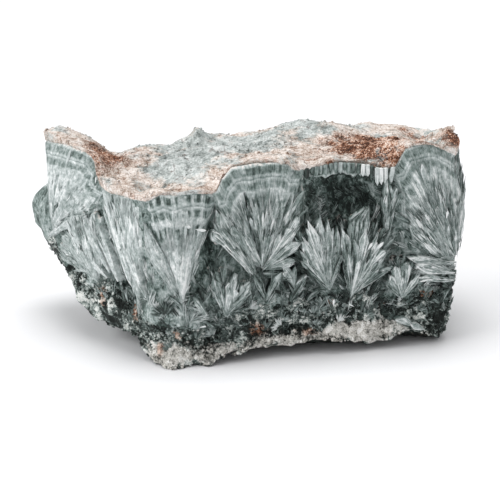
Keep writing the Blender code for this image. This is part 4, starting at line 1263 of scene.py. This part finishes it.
def tufts(girth, height, out, angle, length, shade, stray, rng):
    """Bundles of needles: those of one bundle start together, spread a little, and share most of their shade."""
    count = len(girth) * NEEDLES_PER_TUFT
    angle = angle + rng.normal(0, stray, len(girth))
    tilt = rng.uniform(0.5, 4.5, len(girth))
    girth, height, out, angle, length, shade, tilt = repeated(
        NEEDLES_PER_TUFT, girth, height, out, angle, length, shade, tilt)
    angle = angle + rng.normal(0, 4.0, count)
    girth = girth + rng.normal(0, 0.28, count)
    height = height + rng.normal(0, 0.35, count)
    length = length * rng.uniform(0.5, 1.0, count)
    shade = np.clip(shade + rng.normal(0, 0.1, count), 0.03, 1.0)
    axes = crystal_axes(girth, angle, tilt + rng.normal(0, 2.0, count))
    foot = wall(girth, height, out - 0.1 - 0.015 * length)
    width = rng.uniform(0.14, 0.32, count)
    return crystals(foot, axes, length, width, 0.7, shade, NEEDLE_RINGS, 3)


def leaf_tufts(blades, first_seed, rng):
    """Tufts that follow each leaf blade and spread a little from its middle line."""
    calm = [girth_between(leaf.girth, 0.0) < CALM_END for leaf in blades]
    counts = [max(2, int(leaf.length * leaf.width * (0.12 if few else 0.3))) for leaf, few in zip(blades, calm)]
    girth, height, turn, length, width, foot_out, tip_out, shade = np.repeat(np.array(blades, float), counts, axis=0).T
    seed = np.repeat(np.arange(len(blades)) + first_seed, counts)
    level = rng.uniform(0.02, 0.8, len(seed))
    share = rng.uniform(-1, 1, len(seed))
    half, middle = leaf_outline(level, seed)
    girth, height = moved(girth, height, np.radians(turn), level * length, (share * half + middle) * width / 2)
    out = leaf_out(foot_out, tip_out, level) + leaf_roof(width, half, share)
    reach = np.minimum(rng.uniform(1.5, 5.0, len(seed)), (1.04 - level) * length)
    tone = 0.48 + 0.5 * shade + rng.normal(0, 0.15, len(seed))
    return tufts(girth, height, out + 0.05, turn + share * 9, reach, tone, 4, rng)


NEEDLES_PER_ROSETTE = 42


def rosettes(count, low, high, rng):
    """Small half-discs of needles low on the wall, each spread about its own direction from one point."""
    girth = rng.uniform(low, high, count)
    height = base_height(girth) + rng.uniform(3.5, 17.0, count)
    girth, height, out = bare_places(girth, height)
    count = len(girth)
    turn = rng.normal(0, 50, count)
    size = rng.uniform(1.4, 4.2, count)
    shade = rng.normal(0.36, 0.19, count)
    tilt = rng.uniform(4, 22, count)
    girth, height, out, turn, size, shade, tilt = repeated(
        NEEDLES_PER_ROSETTE, girth, height, out, turn, size, shade, tilt)
    count = len(girth)
    spread = rng.uniform(-1, 1, count)
    axes = crystal_axes(girth, turn + 52 * spread, tilt * (1 - 0.6 * spread**2) + rng.uniform(0, 7, count))
    length = size * rng.uniform(0.55, 1.0, count)
    foot = wall(girth + rng.normal(0, 0.12, count), height + rng.normal(0, 0.12, count), out - 0.2)
    shade = np.clip(shade + rng.normal(0, 0.12, count), 0.04, 1.0)
    return crystals(foot, axes, length, rng.uniform(0.16, 0.42, count), 0.6, shade, NEEDLE_RINGS, 3)


def fan_tufts(fan, count, stray, glow, rng):
    """Tufts on a fan, which keep off the bands near the rim of a banded one."""
    top = 0.6 if fan.banded > 0.5 else 0.9
    girth, height, out, angle, room, level = spray(fan, count, rng, (0.03, top))
    length = np.minimum(rng.uniform(2.5, 8.0, count) * (0.5 + 0.5 * level), room)
    return tufts(girth, height, out, angle, length, pale_spread(count, glow, rng), stray, rng)


def covered(girth, height):
    """Whether a place on the wall lies on a fan, in a deep hollow or on the smooth side lobe."""
    found = (hollow_depth(girth, height) > 2.0) | (dent(girth, height, SIDE_LOBE) > 0.1)
    for fan in [*FANS.values(), *FAR_FANS.values()]:
        across, up = girth_between(girth, fan.girth), height - fan.height
        angle = np.degrees(np.arctan2(across, up))
        inside = (angle > fan.ribs[0][0] - 1) & (angle < fan.ribs[-1][0] + 1)
        found = found | (inside & (np.hypot(across, up) < rib_reach(fan, angle) * 0.97))
    return found


def bare_places(girth, height):
    """(girth, height, out) of those places that lie on the bare wall."""
    bare = ~covered(girth, height)
    girth, height = girth[bare], height[bare]
    return girth, height, wall_relief(girth, height)[0]


def wall_tufts(count, low, high, rng):
    """Tufts on the bare wall above the granular rock. Their direction is a smooth field, so they lie in waves."""
    girth = rng.uniform(low, high, count)
    bottom = base_height(girth) + 7.0
    height = bottom + (rim_height(girth) - 3.0 - bottom) * rng.uniform(0, 1, count) ** 1.2
    girth, height, out = bare_places(girth, height)
    angle = 85 * lumps(wall(girth, height), 6.0, SEED + 60)
    length = np.minimum(rng.uniform(1.5, 5.5, len(girth)), rim_height(girth) - 0.3 - height)
    shade = rng.normal(0.48, 0.2, len(girth))
    return tufts(girth, height, out + rng.uniform(-0.2, 0.3, len(girth)), angle, length, shade, 14, rng)


def rubble(count, low, high, rng):
    """Short flat crystals that point anywhere, where the fans break off above the granular rock."""
    girth = rng.uniform(low, high, count)
    height = base_height(girth) + rng.uniform(5.0, 17.0, count)
    girth, height, out = bare_places(girth, height)
    count = len(girth)
    axes = crystal_axes(girth, rng.normal(0, 60, count), rng.uniform(4, 32, count))
    length = rng.uniform(1.2, 3.4, count)
    width = length * rng.uniform(0.14, 0.3, count)
    shade = np.clip(rng.normal(0.42, 0.18, count), 0.05, 0.95)
    foot = wall(girth, height, out - 0.3)
    return crystals(foot, axes, length, width, rng.uniform(0.2, 0.5, count), shade, LEAF_RINGS, 6)


def recess_tufts(count, rng):
    """Short dark tufts that point anywhere in the deep recess, like velvet."""
    girth = rng.uniform(33, 58, count)
    height = rng.uniform(33, 47, count)
    inside = hollow_depth(girth, height) > 1.0
    girth, height = girth[inside], height[inside]
    out, fine, _ = wall_relief(girth, height)
    angle = 120 * lumps(wall(girth, height), 5.0, SEED + 61)
    shade = 0.2 + 0.3 * fine + rng.normal(0, 0.09, len(girth))
    return tufts(girth, height, out + 0.1, angle, rng.uniform(0.8, 2.4, len(girth)), shade, 25, rng)


def low_sprays(count, low, high, rng):
    """Leaves for build_leaf in small sprays of four to seven above the granular rock, where no fan stands."""
    found = []
    girths = rng.uniform(low, high, count)
    aboves = rng.uniform(4.5, 15.0, count)
    heights = base_height(girths) + aboves
    outs, _, _ = wall_relief(girths, heights)
    bare = ~covered(girths, heights) & (aboves > 3.0 + 9.0 * rng.uniform(0, 1, count))
    bare &= (girth_between(girths, 0.0) > 32.0) | (rng.uniform(0, 1, count) < 0.4)
    for girth, height, out, above, here in zip(girths, heights, outs, aboves, bare):
        middle, tone = rng.normal(0, 42), rng.normal(-0.5, 0.17)
        for turn in np.linspace(-50, 50, rng.integers(4, 8)) if here else ():
            length = rng.uniform(0.5, 1.0) * (0.8 + 0.42 * above)
            lean = rng.uniform(0.4, 2.0)
            found.append(Leaf(girth, height, middle + turn + rng.normal(0, 9), length, length * rng.uniform(0.14, 0.3),
                              out - 0.2, out + lean, tone + rng.normal(0, 0.1)))
    return found


# %% Painted highlights: white crystals, each a painted glint of light, as girth, height, angle, length, width, out
PAINTED_GLINTS = np.array([
    (7.2, 36.5, 95, 1.6, 1.6, 2.3), (9.8, 35.6, 100, 2.8, 1.4, 2.2), (52.5, 28, 30, 2.2, 1.3, 3.6),
    (54.6, 27.6, 40, 3.2, 1.6, 3.4), (69, 18.6, -96, 3.4, 0.9, 2.6), (72.2, 34.6, 5, 2.2, 1.2, 2.2),
    (75.4, 29, 2, 4.2, 1.4, 2), (67.2, 29.6, -50, 2, 0.7, 2.4),
    (-21.2, 43.6, 30, 2.4, 0.9, 1.4), (44.3, 13.4, 5, 1.7, 1.3, 1.2), (63, 21, 60, 1.6, 0.8, 1.8),
    (9, 10.6, 80, 2.2, 0.9, 1.2), (37, 25, -25, 1.6, 0.6, 3.2),
    (49.5, 12.5, -60, 1.8, 0.8, 1.2), (31.5, 21.5, 70, 1.6, 0.7, 1.6), (106, 30, 20, 2.4, 1, 2.4),
    (128, 26, -30, 2.6, 1, 2.6), (151, 32, 10, 2.2, 0.9, 2.4), (178, 24, 40, 2.4, 1, 2.4),
])


def painted_glints(rng):
    """The listed white crystals, each a painted glint of light, tilted out of the wall at random."""
    girth, height, turn, length, width, out = PAINTED_GLINTS.T
    axes = crystal_axes(girth, turn, rng.uniform(4, 14, len(girth)))
    shade = rng.uniform(0.9, 1.1, len(girth))
    return crystals(wall(girth, height, out - 0.1), axes, length * 0.8, width * 0.6, 0.3, shade, LEAF_RINGS, 5)


def build_crystals(name, sets):
    """One piece of flat-sided crystals from several sets."""
    return make_joined(name, sets, CRYSTAL_FINISH, (False,))


def column_row(rng):
    """The row of upright columns under the crust above the deep recess, palest at its right end."""
    girth = np.cumsum(rng.uniform(0.75, 1.5, 24)) + 33.5
    girth = girth[girth < 58.5]
    count = len(girth)
    length = rng.uniform(1.7, 2.6, count) + 1.3 * smooth_step(52.5, 54.0, girth)
    right = smooth_step(49.0, 50.0, girth)
    white = ((girth > 50.5) & (girth < 53.2)) | ((girth > 54.5) & (girth < 57.6))
    shade = rng.normal(0.4, 0.14, count) + 0.45 * white
    width = 1.3 * rng.uniform(0.8, 1.15, count)
    foot = wall(girth, rim_height(girth) - length - 0.1, 0.15 + 0.8 * right + rng.uniform(0, 0.6, count) * white)
    axes = crystal_axes(girth, rng.normal(0, 3, count), rng.uniform(-2, 3, count))
    return crystals(foot, axes, length, width, 0.9, shade, COLUMN_RINGS, 6)


# %% Build the crystals of the front and of the far sides
FRONT_END = 86  # the girth where the front ends and the far sides begin
FAR_LOW_END = WHOLE_GIRTH - 78  # the girth where the low rock of the far sides ends, at the raised left end
rng = np.random.default_rng(SEED + 50)
FAR_SPRAYS = {key: (14, 110, 8) for key in FAR_FANS}
GLOW = {key: 0.2 * FAN_SHADES.get(key, 0.0) for key in SPRAYS}
front_leaves = [leaves(FANS[key], count, stray, GLOW[key], rng) for key, (count, _, stray) in SPRAYS.items()]
far_leaves = [leaves(FAR_FANS[key], count, stray, 0.0, rng) for key, (count, _, stray) in FAR_SPRAYS.items()]
between = [rubble(90, -38, FRONT_END, rng), rubble(140, FRONT_END, FAR_LOW_END, rng)]
build_crystals("leaves", [column_row(rng), painted_glints(rng), *front_leaves, *far_leaves, *between])
low_front = low_sprays(90, -38, 84, rng)
low_far = low_sprays(60, FRONT_END, FAR_LOW_END, rng)
low_parts = build_leaves(low_front, 200, 0.36) + build_leaves(low_far, 900, 0.5)
make_joined("low_leaves", low_parts, FANS_FINISH, SLAB_SMOOTH)
front_tufts = [fan_tufts(FANS[key], count, stray, GLOW[key], rng) for key, (_, count, stray) in SPRAYS.items()]
build_crystals("needles_front", [*front_tufts, leaf_tufts(BLADES, 0, rng)])
far_tufts = [fan_tufts(FAR_FANS[key], count, stray, 0.0, rng) for key, (_, count, stray) in FAR_SPRAYS.items()]
build_crystals("needles_far", [*far_tufts, leaf_tufts(FAR_BLADES, 100, rng)])
build_crystals("needles_between", [
    wall_tufts(1100, -48, FRONT_END, rng), wall_tufts(900, FRONT_END, WHOLE_GIRTH - 48, rng), recess_tufts(200, rng),
    leaf_tufts(low_front, 200, rng)])
build_crystals("rosettes", [rosettes(230, -37, 84, rng), rosettes(180, FRONT_END, FAR_LOW_END, rng)])

# %% [markdown]
# ## Grains of the matrix and crumbs of the crust
#
# The dark rock is a heap of small blocky crystals, and the crust is crumbly. A noise texture gives their colours
# but leaves the outline smooth. Small blocks with jittered corners break it up: each is a box of eight corners,
# turned at random and half sunk, and they are one joined mesh.

# %% Scattered blocks
BOX = np.array([(x, y, z) for x in (-1, 1) for y in (-1, 1) for z in (-1, 1)], float)
BOX_FACES = np.array([(0, 1, 3, 2), (4, 6, 7, 5), (0, 4, 5, 1), (2, 3, 7, 6), (0, 2, 6, 4), (1, 5, 7, 3)])


def random_turns(count, rng):
    """Rotation matrices from random unit quaternions."""
    w, x, y, z = (rng.normal(size=(4, count)) + 1e-9)
    length = np.sqrt(w * w + x * x + y * y + z * z)
    w, x, y, z = w / length, x / length, y / length, z / length
    rows = [
        1 - 2 * (y * y + z * z), 2 * (x * y - z * w), 2 * (x * z + y * w),
        2 * (x * y + z * w), 1 - 2 * (x * x + z * z), 2 * (y * z - x * w),
        2 * (x * z - y * w), 2 * (y * z + x * w), 1 - 2 * (x * x + y * y)]
    return np.stack(rows, -1).reshape(count, 3, 3)


def blocks(name, places, sizes, rng, **values):
    """Jittered boxes at these places, half as wide as sizes, each turned at random, with the skin's values."""
    count = len(places)
    corners = BOX * rng.uniform(0.55, 1.0, (count, 8, 3)) * rng.uniform(0.6, 1.0, (count, 1, 3))
    corners = corners * (sizes / 2)[:, None, None]
    points = np.einsum("nij,nkj->nki", random_turns(count, rng), corners) + places[:, None]
    points = points.reshape(-1, 3)
    points[:, 2] = np.maximum(points[:, 2], 0.0)
    faces = (BOX_FACES[None] + (np.arange(count) * 8)[:, None, None]).reshape(-1, 4)
    spread = {key: np.repeat(value, 8) for key, value in values.items()}
    return make_piece(name, points, [faces], SKIN_FINISH, smooth=(False,), **spread)


def wall_grains(count, low, high, rng):
    """Random places on the granular rock, with the values that the skin has there."""
    girth = rng.uniform(low, high, count)
    height = base_height(girth) + (0.3 + 15.0 * rng.uniform(0, 1, count) ** 1.15)
    out, _, granular = wall_relief(girth, height)
    keep = (granular > rng.uniform(0.1, 0.7, count)) & (lip_share(girth, height) < rng.uniform(0.1, 1.5, count))
    places = wall(girth, height, out)
    values = (places, lip_share(girth, height), dents(girth, height, STAINS), dents(girth, height, ROCK_TONES))
    return [value[keep] for value in values]


def under_grains(count, low, high, rng):
    """Random places under the raised end of the stone, with the values that the skin has there."""
    girth = rng.uniform(low, high, count)
    girth = np.where(girth < COLUMN_STEPS[0][0], girth + WHOLE_GIRTH, girth)
    places = underside(girth, rng.uniform(0.01, 0.22, count))
    return places, np.full(count, UNDER_LIP), np.full(count, 0.1), rng.normal(0.0, 0.15, count)


# %% Build the grains and the crumbs
sets = [
    wall_grains(10500, -50, FRONT_END, rng), wall_grains(6500, FRONT_END, WHOLE_GIRTH - 50, rng),
    under_grains(1800, -85, -4, rng)]
places, lip, stain, tone = (np.concatenate(part) for part in zip(*sets))
count = len(places)
sizes = 0.3 + rng.uniform(0, 1, count) ** 2.5 * 1.1
shade = rng.normal(0, 0.15, count) + tone
blocks("matrix_grains", places, sizes, rng, matrix=np.ones(count), lip=lip, stain=stain, shade=shade)


def on_crust(count, rng, edge_bias):
    """Random places on the crust: any column, and a share of the way in that favours the edge."""
    girth = rng.uniform(0, WHOLE_GIRTH, count)
    inward = rng.uniform(0, 1, count) ** edge_bias
    edge = skin_edges(girth)
    out, _, _ = wall_relief(girth, edge[:, 2])
    rim = wall(girth, edge[:, 2], out)[:, :2]
    plan = rim * (1 - inward[:, None]) + CENTRE * inward[:, None]
    height = np.array(crust_height(plan[:, 0], plan[:, 1], edge[:, 2], inward)[0])
    return np.column_stack([plan, height])


places = on_crust(9500, rng, 1.4)
rusty = patches(*places.T[:2], RUST_PATCHES)
keep = rng.uniform(0, 1, len(places)) < 0.35 + 0.6 * rusty
places, rusty = places[keep], rusty[keep]
count = len(places)
sizes = 0.2 + rng.uniform(0, 1, count) ** 3 * 0.8
blocks(
    "crust_crumbs", places, sizes, rng, crust=np.ones(count), shade=rng.normal(0, 0.1, count),
    rust=rusty, cool=patches(*places.T[:2], COOL_PATCHES))

# %% [markdown]
# ## Floor, light and camera
#
# The stone stands on a pale floor that fills the view. A large soft light from the upper left models the fans, a
# second one from above brightens the crust, and a bright plain world keeps the shadows open.

# %% Floor
FLOOR_HALF = 3.0
floor_finish = Finish("pale_floor")
floor_finish.done(tint("f8f8fa"), 0.65, specular=0.2)
floor_mesh = bpy.data.meshes.new("floor")
corners = [(FLOOR_HALF * x, FLOOR_HALF * y, 0) for x, y in ((-1, -1), (1, -1), (1, 1), (-1, 1))]
floor_mesh.from_pydata(corners, [], [(0, 1, 2, 3)])
floor_mesh.materials.append(floor_finish.material)
floor = bpy.data.objects.new("floor", floor_mesh)
bpy.context.scene.collection.objects.link(floor)

# %% Lights
WORLD_LIGHT = 0.54
STONE_MIDDLE = Vector((0, 0, 0.03))


def area_light(name, place, size, power):
    """A square soft light at a place, turned to face the stone."""
    light = bpy.data.lights.new(name, "AREA")
    light.size = size
    light.energy = power
    lamp = bpy.data.objects.new(name, light)
    lamp.location = place
    lamp.rotation_euler = (Vector(place) - STONE_MIDDLE).to_track_quat("Z", "Y").to_euler()
    bpy.context.scene.collection.objects.link(lamp)


area_light("key", (-2.5, -0.9, 1.4), 2.8, 50.0)
area_light("top", (0.0, 0.2, 2.4), 1.4, 32.0)
world = bpy.data.worlds.new("studio")
world.use_nodes = True
background = world.node_tree.nodes["Background"].inputs
background["Color"].default_value = (1.0, 1.0, 1.0, 1.0)
background["Strength"].default_value = WORLD_LIGHT
bpy.context.scene.world = world
bpy.context.scene.view_settings.view_transform = "Standard"

# %% Camera: 17 degrees above the floor, half a metre away
SENSOR = 36.0
DISTANCE = 500.0
VIEW_WIDTH = 131.0  # millimetres across the picture at the stone
ELEVATION = np.radians(17.0)
AIM = np.array([0.845, -0.3, 20.4])
camera_data = bpy.data.cameras.new("camera")
camera_data.sensor_width = SENSOR
camera_data.lens = SENSOR * DISTANCE / VIEW_WIDTH
camera_data.clip_start = 0.01
camera = bpy.data.objects.new("camera", camera_data)
camera.location = (AIM + DISTANCE * np.array([0.0, -np.cos(ELEVATION), np.sin(ELEVATION)])) * MM
camera.rotation_euler = (np.pi / 2 - ELEVATION, 0, 0)
bpy.context.scene.collection.objects.link(camera)
bpy.context.scene.camera = camera

# %% Count the pieces, and finish
print("pieces:", len(PIECES))
